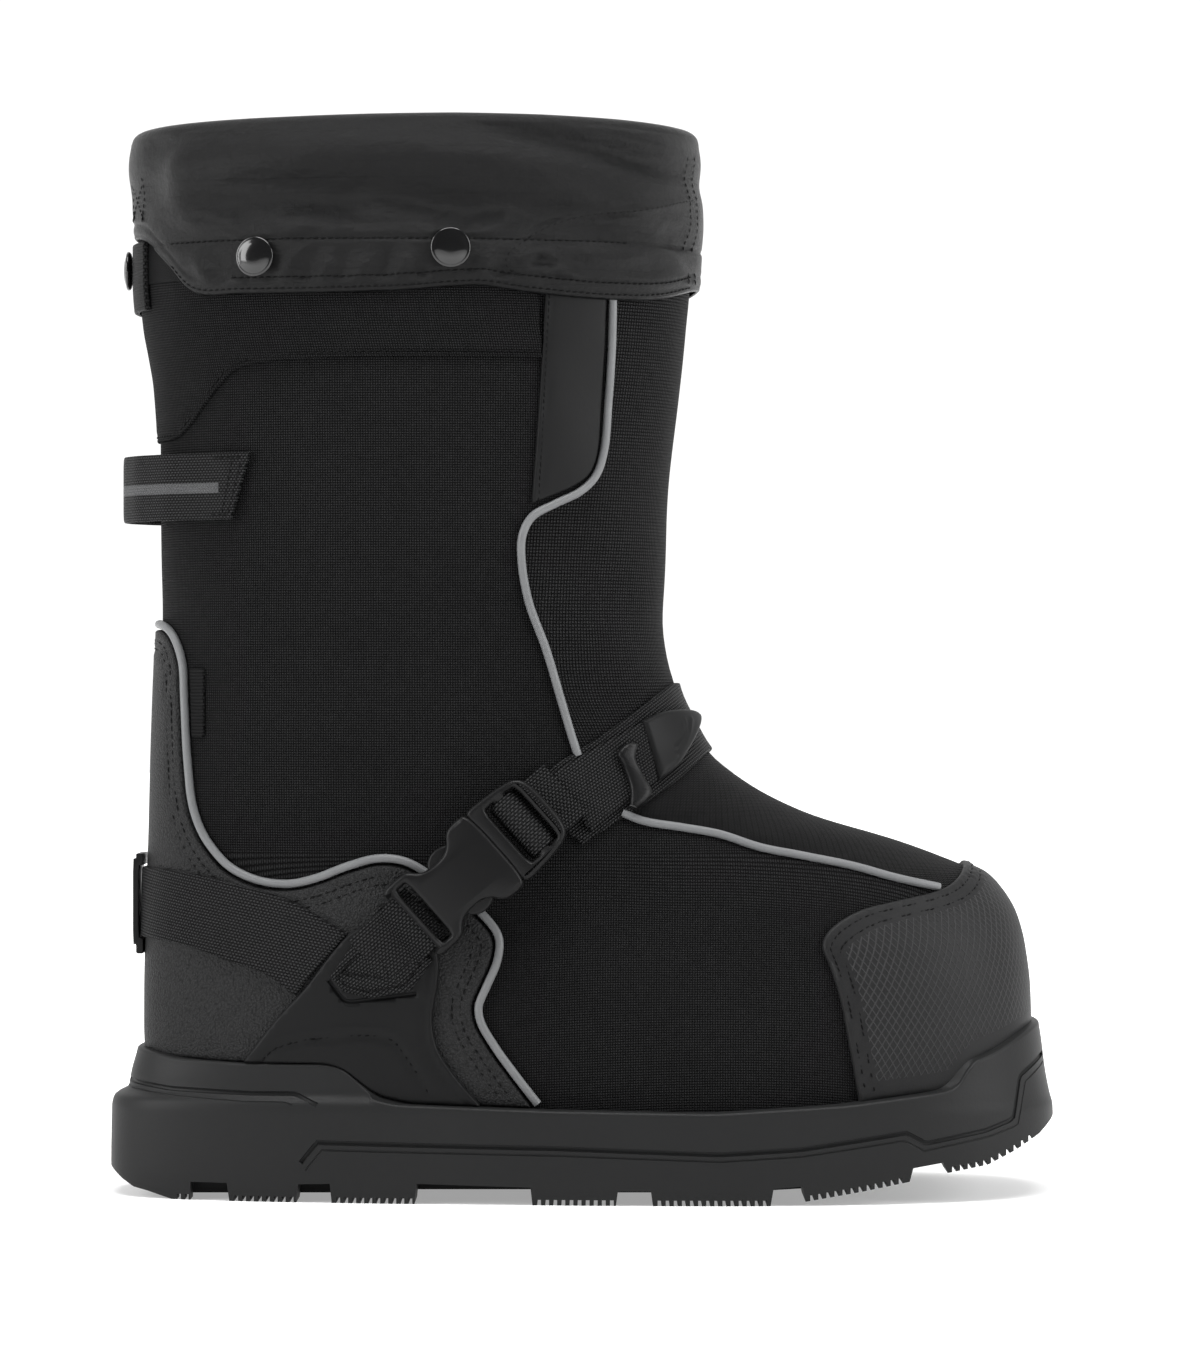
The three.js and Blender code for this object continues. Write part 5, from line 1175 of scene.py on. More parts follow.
saddle_top, band_top = 5.4, 2.4
tail_path = [(76, surface_under(76, band_top)), (70, surface_under(70, band_top)), (66, surface_under(66, band_top)),
             (62.6, max(surface_under(62, band_top), 1.2)), (60.9, 2.6), (59.8, 6.2), (53.6, 6.2), (52.4, 2.4), (51.6, -0.4)]
swept_strap("strap_tail_in_buckle", tail_path[::-1], 24.4, strap_webbing, "strap_tail", ["strap_tail"])
TAIL = [(0.4640, 0.3930), (0.520, 0.4220), (0.560, 0.4415)]
TAIL_LOW = [(0.5760, 0.3850), (0.5480, 0.3680), (0.5080, 0.3400)]
tail_outline = np.vstack([smooth_line(TAIL, 1.8), even_steps(mm([TAIL[-1], TAIL_LOW[0]]), 1.8)[1:-1],
                          smooth_line(TAIL_LOW, 1.8), even_steps(mm([TAIL_LOW[-1], TAIL[0]]), 1.8)[1:-1]])
sewn_panel("strap_tail_webbing", joined(from_front.flat(tail_outline, -1)), from_front, band_top, 1.8,
           strap_webbing, "strap_tail", [], square=2.4, rolled=0.7, grain=39)
tab_path = [(-21, surface_under(-21, saddle_top)), (-14, surface_under(-14, saddle_top)),
            (-6, surface_under(-6, saddle_top)), (-1.8, 2.4), (0.8, 3.6), (4.6, 3.6), (7.4, 2.2)]
swept_strap("anchor_tab_in_buckle", tab_path, 24.4, strap_webbing, "anchor_tab", ["anchor_tab"], shift=-0.3)
ANCHOR = [(0.2430, 0.2090), (0.2560, 0.1950), (0.2840, 0.1890), (0.3250, 0.1960), (0.3480, 0.2240), (0.3110, 0.2600),
          (0.2930, 0.2740)]
tab_cut = even_steps(np.vstack([mm(ANCHOR), mm(ANCHOR[:1])]), 1.5)
anchor_flat = joined(from_back.flat(tab_cut, -1))
anchor_row = even_steps(from_back.flat(mm([(0.306, 0.262), (0.2500, 0.2090), (0.2600, 0.2000), (0.2840, 0.1955),
                                           (0.3200, 0.2020), (0.3370, 0.2230)]), -1), 1.2)
anchor_vee = even_steps(from_back.flat(mm([(0.2560, 0.2120), (0.3050, 0.2080), (0.2830, 0.2480)]), -1), 1.2)
sewn_panel("anchor_tab_webbing", anchor_flat, from_back, saddle_top, 1.8, strap_webbing, "anchor_tab", [],
           square=2.0, rolled=0.7, seams=[(anchor_row, 0.5, 0.8), (anchor_vee, 0.5, 0.8)], grain=42)
sew("anchor_tab_stitches", [from_back.lift(anchor_row, saddle_top + 1.7), from_back.lift(anchor_vee, saddle_top + 1.7)],
    "anchor_tab", pitch=2.6)

# %% [markdown]
# The cuff is thin coated nylon folded down over the collar. It is one tube, shaped row by row: up the outside
# from the hem to the fold, over it, and down inside. The hem is doubled, so it stands a little prouder, and
# the cloth ripples between its snaps. Each ripple is a soft line, listed one by one.

# %% folds of the cuff
HEM = [(0.000, 0.900), (0.047, 0.890), (0.075, 0.865), (0.104, 0.8370), (0.150, 0.8345), (0.210, 0.8340),
       (0.314, 0.8360), (0.365, 0.8395), (0.400, 0.8405), (0.436, 0.8360), (0.519, 0.8310), (0.575, 0.8340),
       (0.614, 0.8470)]
hem_line = smooth_line(HEM, 1.5)
# line, how far it stands out in mm, width in mm
CUFF_FOLDS = [
    ([(0.603, 0.929), (0.550, 0.914), (0.500, 0.907), (0.463, 0.896), (0.434, 0.880), (0.419, 0.866), (0.425, 0.854)],
     0.45, 1.7),
    ([(0.020, 0.962), (0.130, 0.958), (0.280, 0.962), (0.400, 0.958), (0.500, 0.945), (0.600, 0.925)], 1.3, 9),
    ([(0.060, 0.925), (0.180, 0.925), (0.300, 0.915), (0.420, 0.905), (0.500, 0.912)], -2.0, 11),
    ([(0.180, 0.900), (0.300, 0.893), (0.430, 0.890)], 1.3, 6),
    ([(0.385, 0.992), (0.460, 0.975), (0.540, 0.962), (0.610, 0.945)], -1.3, 5),
    ([(0.470, 0.998), (0.540, 0.985), (0.600, 0.968)], 1.2, 6),
    ([(0.440, 0.925), (0.520, 0.922), (0.600, 0.905)], 1.1, 5),
    ([(0.080, 0.990), (0.060, 0.950), (0.050, 0.920)], -1.0, 6), ([(0.100, 0.975), (0.090, 0.930), (0.110, 0.900)], 1.1, 6),
    ([(0.160, 0.886), (0.130, 0.902), (0.090, 0.905)], 1.0, 4), ([(0.190, 0.888), (0.230, 0.902)], 0.9, 4),
    ([(0.355, 0.888), (0.330, 0.905), (0.270, 0.915)], 0.9, 4), ([(0.385, 0.888), (0.430, 0.905)], 0.9, 4),
    ([(0.196, 0.846), (0.206, 0.866), (0.226, 0.880)], 0.75, 2.4), ([(0.214, 0.842), (0.228, 0.860)], -0.6, 2.2),
    ([(0.234, 0.846), (0.243, 0.866)], 0.6, 2.4), ([(0.252, 0.842), (0.262, 0.874)], -0.5, 2.4),
    ([(0.272, 0.846), (0.282, 0.866)], 0.5, 2.4), ([(0.292, 0.844), (0.306, 0.874)], -0.6, 2.4),
    ([(0.312, 0.848), (0.322, 0.870)], 0.75, 2.4), ([(0.334, 0.846), (0.338, 0.860)], -0.6, 2.2),
    ([(0.392, 0.848), (0.402, 0.868), (0.420, 0.880)], 0.9, 2.6), ([(0.408, 0.846), (0.424, 0.862)], -0.7, 2.4),
    ([(0.430, 0.862), (0.450, 0.872), (0.470, 0.868)], 1.1, 2.8), ([(0.436, 0.850), (0.462, 0.858), (0.490, 0.850)], 0.9, 2.6),
    ([(0.445, 0.866), (0.470, 0.860)], -0.8, 2.4), ([(0.480, 0.878), (0.520, 0.870), (0.560, 0.872)], 1.0, 4),
    ([(0.500, 0.855), (0.560, 0.850), (0.600, 0.858)], 0.8, 4), ([(0.570, 0.900), (0.600, 0.880), (0.606, 0.860)], -1.0, 4),
    ([(0.110, 0.872), (0.118, 0.846)], 0.7, 2.6), ([(0.128, 0.874), (0.136, 0.846)], -0.6, 2.4),
    ([(0.142, 0.852), (0.156, 0.843)], 0.7, 2.2)]
FOLD_DEPTH = 2.2
# how far the fold at the top sinks below the highest place, from the heel forwards, in mm
CUFF_TOP = [(0.000, 2.0), (0.050, 1.9), (0.120, 1.6), (0.200, 1.2), (0.290, 0.5), (0.370, 0.0), (0.460, 0.0), (0.540, 0.3),
            (0.600, 0.8), (0.640, 0.9)]


def cuff_relief(points):
    flat = np.column_stack([points[:, 0], points[:, 2]])
    total = np.zeros(len(points))
    for line, depth, width in CUFF_FOLDS:
        gap, where = distance_to(flat, smooth_line(line, 4))
        total += FOLD_DEPTH * depth * (0.3 + 0.7 * np.clip(5 * where * (1 - where), 0, 1)) * np.exp(-(gap / width) ** 2)
    return total


# %% shape of the cuff
HEM_SEAM = 0.8835 * HEIGHT
UNDER_SEAM = 10.0          # lower stitch row above the hem
cuff_columns = 300
cuff, turn, along = open_tube("cuff_cloth", cuff_columns, 130)
column_x = upper_last.spot(turn, 0.86 * HEIGHT)[0][:, 0]
hem_z = np.interp(column_x, hem_line[:, 0], hem_line[:, 1])
hem_z = np.where(column_x < hem_line[0, 0], hem_line[0, 1], hem_z)
INSIDE_Z = 0.941 * HEIGHT
FOLD_Z = 0.9895 * HEIGHT - np.interp(column_x / LENGTH, *np.array(CUFF_TOP).T)
outer_part, fold_part = 0.72, 0.84
share = along / outer_part
wall_z = hem_z + (FOLD_Z - hem_z) * np.clip(share, 0, 1)
arch = np.clip((along - outer_part) / (fold_part - outer_part), 0, 1) * math.pi
inner_share = np.clip((along - fold_part) / (1 - fold_part), 0, 1)
cuff_z = np.where(along < outer_part, wall_z,
                  np.where(along < fold_part, FOLD_Z + 3.9 * np.sin(arch), FOLD_Z - (FOLD_Z - INSIDE_Z) * inner_share))
outside, inside = 5.0, -4.4
stand = np.where(along < outer_part, outside, np.where(along < fold_part,
                 (outside + inside) / 2 + (outside - inside) / 2 * np.cos(arch), inside))
base_points, base_normals = upper_last.spot(turn, np.minimum(cuff_z, 403))
base_normals[:, 2] = 0
base_normals /= np.linalg.norm(base_normals, axis=1, keepdims=True)
above_hem = cuff_z - hem_z
doubled = np.where(along < outer_part, 0.55 * (1 - ease((cuff_z - HEM_SEAM + 1.2) / 1.6)), 0)
seam_press = np.exp(-((cuff_z - HEM_SEAM) / 1.0) ** 2) + np.exp(-((above_hem - UNDER_SEAM + 4) / 0.9) ** 2) \
    + 0.8 * np.exp(-((above_hem - 1.8) / 0.8) ** 2)
roll_under = 1.2 * (1 - np.clip(above_hem / 1.6, 0, 1)) ** 2
drawn_in = 1.4 * np.exp(-(above_hem / 7) ** 2)
relief = cuff_relief(base_points) * np.clip(above_hem / 5, 0.4, 1) * np.clip((404 - cuff_z) / 9, 0.25, 1)
stand = np.where(along < outer_part, stand + relief + doubled - 0.4 * seam_press - roll_under - drawn_in, stand)
cuff_points = base_points + base_normals * stand[:, None]
cuff_points[:, 2] = cuff_z
set_points(cuff, cuff_points)
girth_there = np.where(turn <= 0.5, turn, turn - 1) * (upper_last.girth[0][-1] + upper_last.girth[1][-1])
keep_pattern(cuff, np.column_stack([girth_there, cuff_z]))
outward(cuff, 70)
cloth = cuff.modifiers.new("cloth", "SOLIDIFY")
cloth.thickness, cloth.offset = 0.0009, -1
take(cuff)
bpy.ops.object.modifier_apply(modifier="cloth")
finish_piece(cuff, nylon, "cuff", "cuff")


# %% stitches and seams of the cuff
def on_cuff(x, z, side, out=0.25):
    """Points on the outside of the cuff, seen at x, z from one side."""
    turn = upper_last.turn_at(x, np.full(len(x), 0.86 * HEIGHT), side)
    points, normals = upper_last.spot(turn, z)
    normals[:, 2] = 0
    normals /= np.linalg.norm(normals, axis=1, keepdims=True)
    hem = np.interp(points[:, 0], hem_line[:, 0], hem_line[:, 1])
    above = z - hem
    stand = 5.0 + cuff_relief(points) * np.clip(above / 5, 0.4, 1) * np.clip((404 - z) / 9, 0.25, 1) \
        + 0.55 * (1 - ease((z - HEM_SEAM + 1.2) / 1.6)) - 1.4 * np.exp(-(above / 7) ** 2) - 0.4
    return points + normals * (stand + out)[:, None], normals


cuff_rows = []
for side in (-1, 1):
    x = np.arange(0.080, 0.608, 0.004) * LENGTH
    hem_here = np.interp(x, hem_line[:, 0], hem_line[:, 1])
    short = x < 0.545 * LENGTH
    cuff_rows += [on_cuff(x[short], np.full(short.sum(), HEM_SEAM), side),
                  on_cuff(x[16:], hem_here[16:] + UNDER_SEAM - 4, side), on_cuff(x, hem_here + 1.9, side)]
    slant = even_steps(smooth_line([(0.603, 0.9290), (0.550, 0.9140), (0.500, 0.9070), (0.463, 0.8960), (0.434, 0.8800),
                                    (0.4190, 0.8660), (0.4230, 0.8560), (0.4400, 0.8490)], 1.5), 1.5)
    cuff_rows.append(on_cuff(slant[:, 0], slant[:, 1], side))
sew("cuff_stitches", cuff_rows, "cuff", pitch=2.7, size=0.85)
front_rows = []
for line in ([(0.030, 0.850), (0.030, 0.975)], [(0.042, 0.850), (0.042, 0.975)], [(0.970, 0.850), (0.970, 0.975)],
             [(0.455, 0.907), (0.455, 0.950)], [(0.478, 0.909), (0.478, 0.950)], [(0.455, 0.912), (0.478, 0.945)],
             [(0.478, 0.912), (0.455, 0.945)]):
    ends = np.array(line)
    where = np.linspace(0, 1, 40)[:, None]
    spread = ends[0] * (1 - where) + ends[1] * where
    points, normals = upper_last.spot(spread[:, 0], spread[:, 1] * HEIGHT)
    relief_there = cuff_relief(points) * np.clip((404 - points[:, 2]) / 9, 0.25, 1)
    front_rows.append((points + normals * (4.95 + relief_there)[:, None], normals))
sew("cuff_front_stitches", front_rows, "cuff", pitch=2.5, size=0.85)

# %% [markdown]
# Snaps, tape, pull loop and keeper are small, but the eye finds them first. A snap cap is turned: a rolled rim
# and a shallow dome, glossy black. The pull loop is one strap of webbing that leaves the shaft behind.

# %% snaps
SNAP_PROFILE = [(0.0, 0.0), (5.0, 0.0), (6.6, 0.4), (7.3, 0.9), (7.5, 1.4), (7.35, 1.9), (6.9, 2.15), (6.5, 2.1),
                (6.1, 2.2), (5.2, 2.6), (4.0, 2.95), (2.4, 3.15), (0.9, 3.2), (0.0, 3.2)]


def snap_cap(name, point, normal, node):
    profile = np.array(SNAP_PROFILE)
    piece, turn, along = open_tube(name, 40, len(profile) - 1)
    row = np.round(along * (len(profile) - 1)).astype(int)
    angle = turn * 2 * math.pi
    normal = np.array([normal[0], normal[1], 0]) / math.hypot(normal[0], normal[1])
    right = np.cross((0, 0, 1), normal)
    radius, rise = profile[row].T
    set_points(piece, point + np.outer(radius * np.cos(angle), right) + np.outer(radius * np.sin(angle), (0, 0, 1))
               + np.outer(rise, normal))
    take(piece)
    bpy.ops.object.mode_set(mode="EDIT")
    bpy.ops.mesh.select_all(action="SELECT")
    bpy.ops.mesh.remove_doubles(threshold=0.00002)
    bpy.ops.object.mode_set(mode="OBJECT")
    outward(piece, 60)
    return finish_piece(piece, snap_gloss, node, node)


ON_CUFF = 2.5 + 2.0 + 0.7 + 0.3
for side, word in ((-1, "outer"), (1, "inner")):
    for x, z, end in ((0.170, 0.868, "rear"), (0.364, 0.875, "front")):
        turn_there = upper_last.turn_at(x * LENGTH, z * HEIGHT, side)
        point, normal = upper_last.spot(turn_there, np.array([z * HEIGHT]), ON_CUFF)
        snap_cap(f"snap_{word}_{end}_cap", point[0], normal[0], f"snap_{word}_{end}")
point, normal = upper_last.spot(np.array([0.5]), np.array([0.867 * HEIGHT]), 2 * 0.3 + 1.6 + 1.8 + 0.3)
snap_cap("snap_back_cap", point[0], normal[0], "snap_back")

# %% back tape, side label and pull loop
tape_u = float(from_back.flat(mm([(0.0505, 0.86)]), -1)[0, 0])
tape_cut = even_steps(np.array([(tape_u, 334.6), (tape_u, 360.4), (-tape_u, 360.4), (-tape_u, 334.6), (tape_u, 334.6)]), 1.8)
sewn_panel("back_tape_webbing", joined(tape_cut), from_back, 2.2, 1.8, ribbed_tape, "back_tape", ["back_tape"],
           square=2.0, rolled=0.6)
for side, word in ((-1, "outer"), (1, "inner")):
    notch_cut = even_steps(mm([(0.0460, 0.849), (0.0460, 0.887), (0.110, 0.887), (0.110, 0.849), (0.0460, 0.849)]), 1.8)
    sewn_panel(f"notch_tape_{word}", joined(from_back.flat(notch_cut, side)), from_back, 0.3, 1.6, cross_tape,
               "back_tape", [], square=2.0, rolled=0.5)
label_cut = even_steps(mm([(0.0920, 0.492), (0.107, 0.492), (0.107, 0.428), (0.0940, 0.428), (0.0920, 0.492)]), 1.5)
label_flat = joined(from_back.flat(label_cut, -1))
sewn_panel("side_label_tab", label_flat, from_back, 0.3, 1.1, ribbed_tape, "side_label", ["side_label"],
           square=1.2, rolled=0.5)

LOOP_TOP, LOOP_WIDE, LOOP_REACH = 0.6905 * HEIGHT, 25.0, 14.5


def loop_route():
    """The line of the webbing seen from above, from its sewn end on the outer side round behind the shaft."""
    route = []
    for x in (0.1585, 0.145, 0.127, 0.109):
        turn_there = upper_last.turn_at(x * LENGTH, LOOP_TOP, -1)
        point, _ = upper_last.spot(turn_there, np.array([LOOP_TOP]), 1.2)
        route.append(tuple(point[0, :2]))
    tip = 0.0524 * LENGTH - LOOP_REACH
    route += [(23.5, -34.2), (11.8, -21.0), (tip + 1.8, -9.0), (tip + 0.9, 0.0)]
    return np.array(route + [(x, -y) for x, y in route[-2::-1]])


route = even_steps(smooth_path(loop_route()), 1.6)
loop_rows = len(route) - 1
route_way = np.gradient(route, axis=0)
route_way /= np.linalg.norm(route_way, axis=1, keepdims=True)
LOOP_SLANT = 5.2           # rows by which the lower corner of each end is cut back


def on_loop(at, rise, out):
    """A place on the webbing of the loop: rows along it, mm above its middle, mm out of its middle layer."""
    at = np.asarray(at, float)
    cut_back = LOOP_SLANT * (0.5 - np.asarray(rise) / LOOP_WIDE)
    at = at + cut_back * np.clip(1 - at / 14, 0, 1) - cut_back * np.clip(1 - (loop_rows - at) / 14, 0, 1)
    steps = np.arange(loop_rows + 1)
    here = np.column_stack([np.interp(at, steps, route[:, k]) for k in (0, 1)])
    way = np.column_stack([np.interp(at, steps, route_way[:, k]) for k in (0, 1)])
    normal = np.column_stack([-way[:, 1], way[:, 0]])
    outside = np.sign(((here - (110, 0)) * normal).sum(1))[:, None] * normal
    place = np.column_stack([here + outside * np.asarray(out)[..., None], LOOP_TOP - LOOP_WIDE / 2 + rise])
    return place, np.column_stack([outside, np.zeros(len(at))]), at


loop, turn, along = open_tube("pull_loop_webbing", 28, loop_rows, ends="NGON")
angle = turn * 2 * math.pi
rise_there = np.sign(np.cos(angle)) * np.abs(np.cos(angle)) ** 0.26 * LOOP_WIDE / 2
thick_there = np.sign(np.sin(angle)) * np.abs(np.sin(angle)) ** 0.55 * 0.9
loop_points, _, at = on_loop(along * loop_rows, rise_there, thick_there)
set_points(loop, loop_points)
run = np.concatenate([[0], np.linalg.norm(np.diff(route, axis=0), axis=1).cumsum()])
keep_pattern(loop, np.column_stack([np.interp(at, np.arange(loop_rows + 1), run) - run[-1] / 2, rise_there]))
outward(loop, 60)
finish_piece(loop, striped_webbing(run[-1] / 2 - 13.5), "pull_loop", "pull_loop")
loop_lines = []
for at_line, rise_line in (((1.6, 1.6), (-10.6, 10.6)), ((1.6, 11.0), (10.6, 10.6)), ((1.6, 10.0), (-10.6, -10.6)),
                           ((4.2, 4.2), (-10.6, 10.6))):
    for mirrored in (False, True):
        rows_there, rises = np.linspace(*at_line, 30), np.linspace(*rise_line, 30)
        place, normal, _ = on_loop(loop_rows - rows_there if mirrored else rows_there, rises, np.full(30, 0.95))
        loop_lines.append((place, normal))
sew("pull_loop_stitches", loop_lines, "pull_loop", pitch=2.5, size=0.85)

# %% back keeper of the heel strap
keeper_z, keeper_half = 0.273 * HEIGHT, 0.032 * HEIGHT + 0.9
keeper_x = sections_at(UPPER, HEIGHT, np.array([keeper_z]))[0, 0] * LENGTH - 3.1 - 1.8 - 0.35
keeper_shape = [(keeper_x + 1.8, -keeper_half - 6), (keeper_x - 1, -keeper_half - 6), (keeper_x - 1, -keeper_half - 2.4),
                (keeper_x - 2.2, -keeper_half - 2.4), (keeper_x - 2.2, keeper_half + 2.4), (keeper_x - 1, keeper_half + 2.4),
                (keeper_x - 1, keeper_half + 4.4), (keeper_x + 1.8, keeper_half + 4.4), (keeper_x + 1.8, keeper_half),
                (keeper_x, keeper_half), (keeper_x, -keeper_half), (keeper_x + 1.8, -keeper_half)]
back_keeper = moulding("back_keeper_moulding", softened(keeper_shape, 1, 0.15), [], -11.0, 11.0, 0.35)
co = get_points(back_keeper) * 1000 + (ORIGIN_X, ORIGIN_Y, 0)
local = (co - buckle_foot) @ buckle_axes.T
set_points(back_keeper, np.column_stack([local[:, 0], local[:, 2], keeper_z + local[:, 1]]))
outward(back_keeper, 40)
finish_piece(back_keeper, moulded_plastic, "back_keeper", "back_keeper")

# %% [markdown]
# The sole is moulded in one: a cup whose wall carries two ledges, a rolled top edge and lined grooves, and
# lugs below with a toothed edge. Its wall is a fine tube on its own last, closed below. The gaps between the
# lugs, the channel, the grooves and the teeth are then cut out of it with plain cutters, as a mould maker does.

# %% wall of the sole
sole_last = Last(SOLE, RAND_HEIGHT, SOLE_WIDTH, np.concatenate([np.arange(0, 66, 0.75), [66.0]]))
sole_columns = 400
sole, turn, along = open_tube("sole_moulding", sole_columns, 96, ends="NGON")
row = np.round(along * 96).astype(int)
edge_x = sole_last.spot(turn, 50)[0][:, 0]
edge_z = sole_top(edge_x)
ROLL = 1.5
wall_rows, roll_rows, top_rows = 74, 8, 4
wall_z = -6 + (edge_z - ROLL + 6) * np.clip(row / wall_rows, 0, 1)
quarter = np.clip((row - wall_rows) / roll_rows, 0, 1) * math.pi / 2
outer_points, outer_normals = sole_last.spot(turn, np.clip(wall_z, 0, 66))
outer_points[:, 2] = wall_z
outer_normals[:, 2] = 0
outer_normals /= np.linalg.norm(outer_normals, axis=1, keepdims=True)
rolled_points = outer_points - outer_normals * (ROLL * (1 - np.cos(quarter)))[:, None]
rolled_points[:, 2] = wall_z + ROLL * np.sin(quarter)
cup_z = np.where(row > wall_rows + roll_rows + top_rows,
                 edge_z - (edge_z - 28.0) * (row - wall_rows - roll_rows - top_rows) / (96 - wall_rows - roll_rows - top_rows),
                 edge_z)
cup_turn = np.zeros(len(turn))
for side in (-1, 1):
    here = turn <= 0.5 if side < 0 else turn > 0.5
    cup_turn[here] = turn[here]
cup_points, _ = upper_last.spot(cup_turn, np.maximum(cup_z, 28.0), 0.35)
inward = np.clip((row - wall_rows - roll_rows) / top_rows, 0, 1)[:, None]
sole_points = rolled_points * (1 - inward) + cup_points * inward
set_points(sole, sole_points)
outward(sole, 35)
print("sole before cutting:", len(sole.data.polygons), "faces")

# %% cutters
SOLE_UNDER = [(-0.03, 0.0400), (0.000, 0.0275), (0.0075, 0.0227), (0.017, 0.0163), (0.030, 0.0096), (0.046, 0.0067),
              (0.072, 0), (0.092, 0), (0.0925, 0.017), (0.131, 0.017), (0.1335, 0), (0.204, 0), (0.206, 0.017),
              (0.239, 0.018), (0.241, 0), (0.327, 0), (0.329, 0.019), (0.447, 0.0165), (0.449, 0), (0.535, 0),
              (0.537, 0.0135), (0.571, 0.0135), (0.573, 0), (0.694, 0), (0.697, 0.016), (0.727, 0.018),
              (0.730, 0.004), (0.787, 0.0125), (0.838, 0.021), (0.842, 0.034), (0.873, 0.038), (0.878, 0.028),
              (0.921, 0.034), (0.952, 0.046), (0.979, 0.059), (1.000, 0.074), (1.03, 0.090)]


def prism(name, outline, low_y=-120.0, high_y=120.0):
    """A plain cutter: an outline of the side view (mm) carried across the shoe."""
    bpy.ops.object.select_all(action="DESELECT")
    bpy.ops.mesh.primitive_circle_add(vertices=len(outline), radius=1, fill_type="NGON")
    cutter = bpy.context.object
    cutter.name = name
    co = np.column_stack([outline[:, 0], np.full(len(outline), low_y), outline[:, 1]])
    set_points(cutter, co)
    bpy.ops.object.mode_set(mode="EDIT")
    bpy.ops.mesh.select_all(action="SELECT")
    bpy.ops.mesh.extrude_region_move(TRANSFORM_OT_translate={"value": (0, (high_y - low_y) * 0.001, 0)})
    bpy.ops.mesh.select_all(action="SELECT")
    bpy.ops.mesh.normals_make_consistent(inside=False)
    bpy.ops.object.mode_set(mode="OBJECT")
    return cutter


# the middle blocks stand behind the gaps of the outer ones, so no gap runs straight across
MIDDLE_UNDER = [(-0.03, 0.0400), (0.000, 0.0275), (0.0075, 0.0227), (0.017, 0.0163), (0.030, 0.0096), (0.046, 0.0067),
                (0.072, 0.0035), (0.150, 0.0035), (0.152, 0.019), (0.182, 0.019), (0.184, 0.0035), (0.262, 0.0035),
                (0.264, 0.019), (0.300, 0.019), (0.302, 0.0065), (0.470, 0.0065), (0.472, 0.018), (0.510, 0.018),
                (0.512, 0.0035), (0.615, 0.0035), (0.617, 0.018), (0.655, 0.018), (0.657, 0.0035), (0.735, 0.0075),
                (0.765, 0.0120), (0.768, 0.030), (0.800, 0.032), (0.803, 0.0190), (0.838, 0.0245), (0.878, 0.0310),
                (0.921, 0.037), (0.952, 0.048), (0.979, 0.059), (1.000, 0.074), (1.03, 0.090)]
below = mm([(1.03, -0.05), (-0.03, -0.05)])
cut_away(sole, prism("below_lugs_outer", np.vstack([mm(SOLE_UNDER), below]), -120, -27),
         prism("below_lugs_middle", np.vstack([mm(MIDDLE_UNDER), below]), -27.01, 27.01),
         prism("below_lugs_inner", np.vstack([mm(SOLE_UNDER), below]), 27, 120))
channel_x = np.array([0.100, 0.25, 0.40, 0.55, 0.70, 0.80]) * LENGTH
channel_y = TOE_SWING * ease((channel_x / LENGTH - 0.4) / 0.75) - np.array([0, 0, 2.3, 2.0, 0, 0])
channel = prism("channel", np.vstack([mm([(0.1, -0.03), (0.8, -0.03), (0.8, 0.0158), (0.1, 0.0158)])]), -7.5, 7.5)
co = get_points(channel) * 1000 + (ORIGIN_X, ORIGIN_Y, 0)
co[:, 1] += np.interp(co[:, 0], channel_x, channel_y)
set_points(channel, co)
cut_away(sole, channel)

# %% moulded lines of the wall
SIDE_GROOVE = [(0.209, 0.037), (0.226, 0.056), (0.477, 0.0525), (0.642, 0.0475), (0.725, 0.052), (0.834, 0.066),
               (0.855, 0.056), (0.919, 0.066), (0.949, 0.075), (0.957, 0.114), (0.995, 0.137)]
SIDE_FINE = [(0.214, 0.0300), (0.231, 0.0490), (0.477, 0.0460), (0.642, 0.0410), (0.725, 0.0455), (0.832, 0.0590),
             (0.853, 0.0490), (0.922, 0.0600), (0.954, 0.0690), (0.963, 0.1080), (0.995, 0.1290)]
HEEL_GROOVE = [(0.000, 0.111), (0.022, 0.107), (0.069, 0.102), (0.155, 0.0995), (0.203, 0.1000), (0.226, 0.0905)]
HEEL_FINE = [(0.000, 0.104), (0.040, 0.0985), (0.075, 0.0955), (0.150, 0.0925), (0.192, 0.0925), (0.200, 0.0900)]
for side, word in ((-1, "outer"), (1, "inner")):
    for label, shares, radius, sunk in (("line", SIDE_GROOVE, 1.0, -0.2), ("fine", SIDE_FINE, 0.42, 0.0),
                                        ("heel", HEEL_GROOVE, 1.0, -0.2), ("heel_fine", HEEL_FINE, 0.42, 0.0)):
        flat = even_steps(mm(shares), 2.0)
        turn_there = sole_last.turn_at(flat[:, 0], flat[:, 1], side)
        keep = np.concatenate([[True], np.abs(np.diff(turn_there)) > 1e-5]) & (turn_there > 0.004) & (turn_there < 0.996)
        line, _ = sole_last.spot(turn_there[keep], flat[keep, 1], sunk)
        cut_away(sole, round_cord(f"{word}_{label}", line, radius, None, None, None, sides=2))

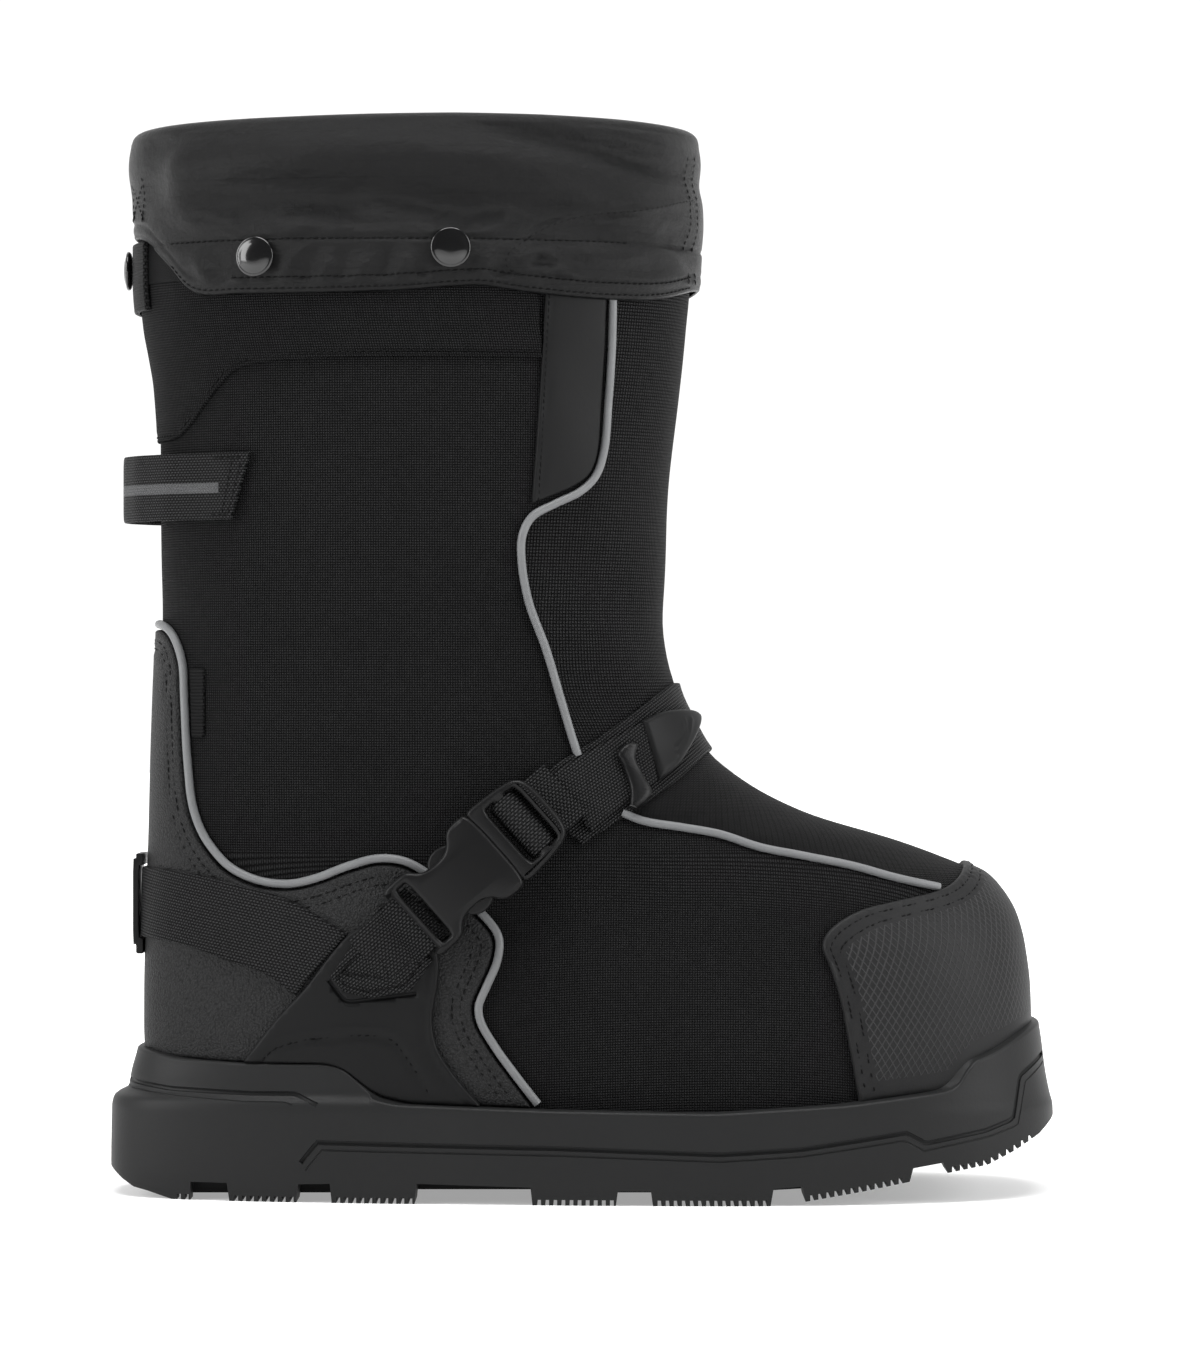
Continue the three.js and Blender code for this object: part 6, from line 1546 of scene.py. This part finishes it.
# %% teeth along the lugs
teeth = []
for start, end in ((0.074, 0.091), (0.135, 0.203), (0.242, 0.326), (0.450, 0.534), (0.574, 0.693), (0.731, 0.837), (0.879, 0.975)):
    teeth += list(np.arange(start * LENGTH + 1.4, end * LENGTH - 1.0, 3.0))
teeth_bars = []
for x in teeth:
    low = np.interp(x / LENGTH, *np.array(SOLE_UNDER).T) * HEIGHT
    teeth_bars.append(prism(f"tooth_{x:.0f}", np.array([(x, low - 3), (x + 1.4, low - 3), (x + 1.4, low + 2.1), (x, low + 2.1)])))
bpy.ops.object.select_all(action="DESELECT")
for bar in teeth_bars:
    bar.select_set(True)
bpy.context.view_layer.objects.active = teeth_bars[0]
bpy.ops.object.join()
cut_away(sole, bpy.context.object)
outward(sole, 30)
finish_piece(sole, sole_rubber, "outsole", "outsole")

# %% the insole stays as its solid and only gets its felt
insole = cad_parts["insole"]
insole.data.materials.clear()
insole.data.materials.append(lining_felt)
print("still shown as solids:", [n for n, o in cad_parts.items() if not o.hide_render])

# %% [markdown]
# The photograph was taken level from about two metres away, so the lens is long. The shoe stands on a pale
# light table: its floor glows more the further it is from the shoe, so the background is plain white while
# the shoe keeps its soft shadow. Large lights stand at both sides and above, and little light comes from
# the front, which leaves the sides of every round form brighter than its middle.

# %% floor and world
bpy.ops.object.select_all(action="DESELECT")
bpy.ops.mesh.primitive_circle_add(vertices=96, radius=9, fill_type="NGON")
table = bpy.context.object
table.name = table.data.name = "light_table"
pale, pale_nodes, pale_links, pale_shader = new_finish("pale_table", (0.70, 0.70, 0.70), 0.9, 0.05)
place = pale_nodes.new("ShaderNodeTexCoord")
length = pale_nodes.new("ShaderNodeVectorMath")
length.operation = "LENGTH"
pale_links.new(place.outputs["Object"], length.inputs[0])
pale_shader.inputs["Emission Color"].default_value = (1, 1, 1, 1)
pale_links.new(ramp(pale_nodes, pale_links, length.outputs["Value"], 0.34, 1.10, 0.20, 0.90),
               pale_shader.inputs["Emission Strength"])
table.data.materials.append(pale)

world = bpy.context.scene.world or bpy.data.worlds.new("studio")
bpy.context.scene.world = world
world.use_nodes = True
world_nodes, world_links = world.node_tree.nodes, world.node_tree.links
way = world_nodes.new("ShaderNodeTexCoord")
parts = world_nodes.new("ShaderNodeSeparateXYZ")
world_links.new(way.outputs["Generated"], parts.inputs[0])
background = world_nodes["Background"]
background.inputs[0].default_value = (1, 1, 1, 1)
world_links.new(ramp(world_nodes, world_links, parts.outputs[1], 0.10, 1.10, -0.70, 0.75), background.inputs[1])


# %% lights and camera
def soft_light(name, place, size, power):
    lamp = bpy.data.lights.new(name, "AREA")
    lamp.shape, lamp.size, lamp.size_y, lamp.energy = "RECTANGLE", size[0], size[1], power
    holder = bpy.data.objects.new(name, lamp)
    bpy.context.scene.collection.objects.link(holder)
    holder.location = place
    holder.rotation_euler = (Vector((0, 0, 0.18)) - Vector(place)).to_track_quat("-Z", "Y").to_euler()


soft_light("left", (-1.9, -0.8, 0.9), (0.9, 1.5), 34)
soft_light("right", (1.9, -0.8, 0.9), (0.9, 1.5), 34)
soft_light("top", (0.0, -0.5, 2.0), (1.6, 1.0), 46)
camera = bpy.data.objects.new("camera", bpy.data.cameras.new("camera"))
bpy.context.scene.collection.objects.link(camera)
camera.location = (0.0067, -2.0015, 0.1948)
camera.rotation_euler = (math.radians(90), 0, 0)
camera.data.sensor_width, camera.data.lens = 36, 138.4
bpy.context.scene.camera = camera
bpy.context.scene.view_settings.view_transform = "Standard"

# %% update the scene once more
bpy.context.view_layer.update()
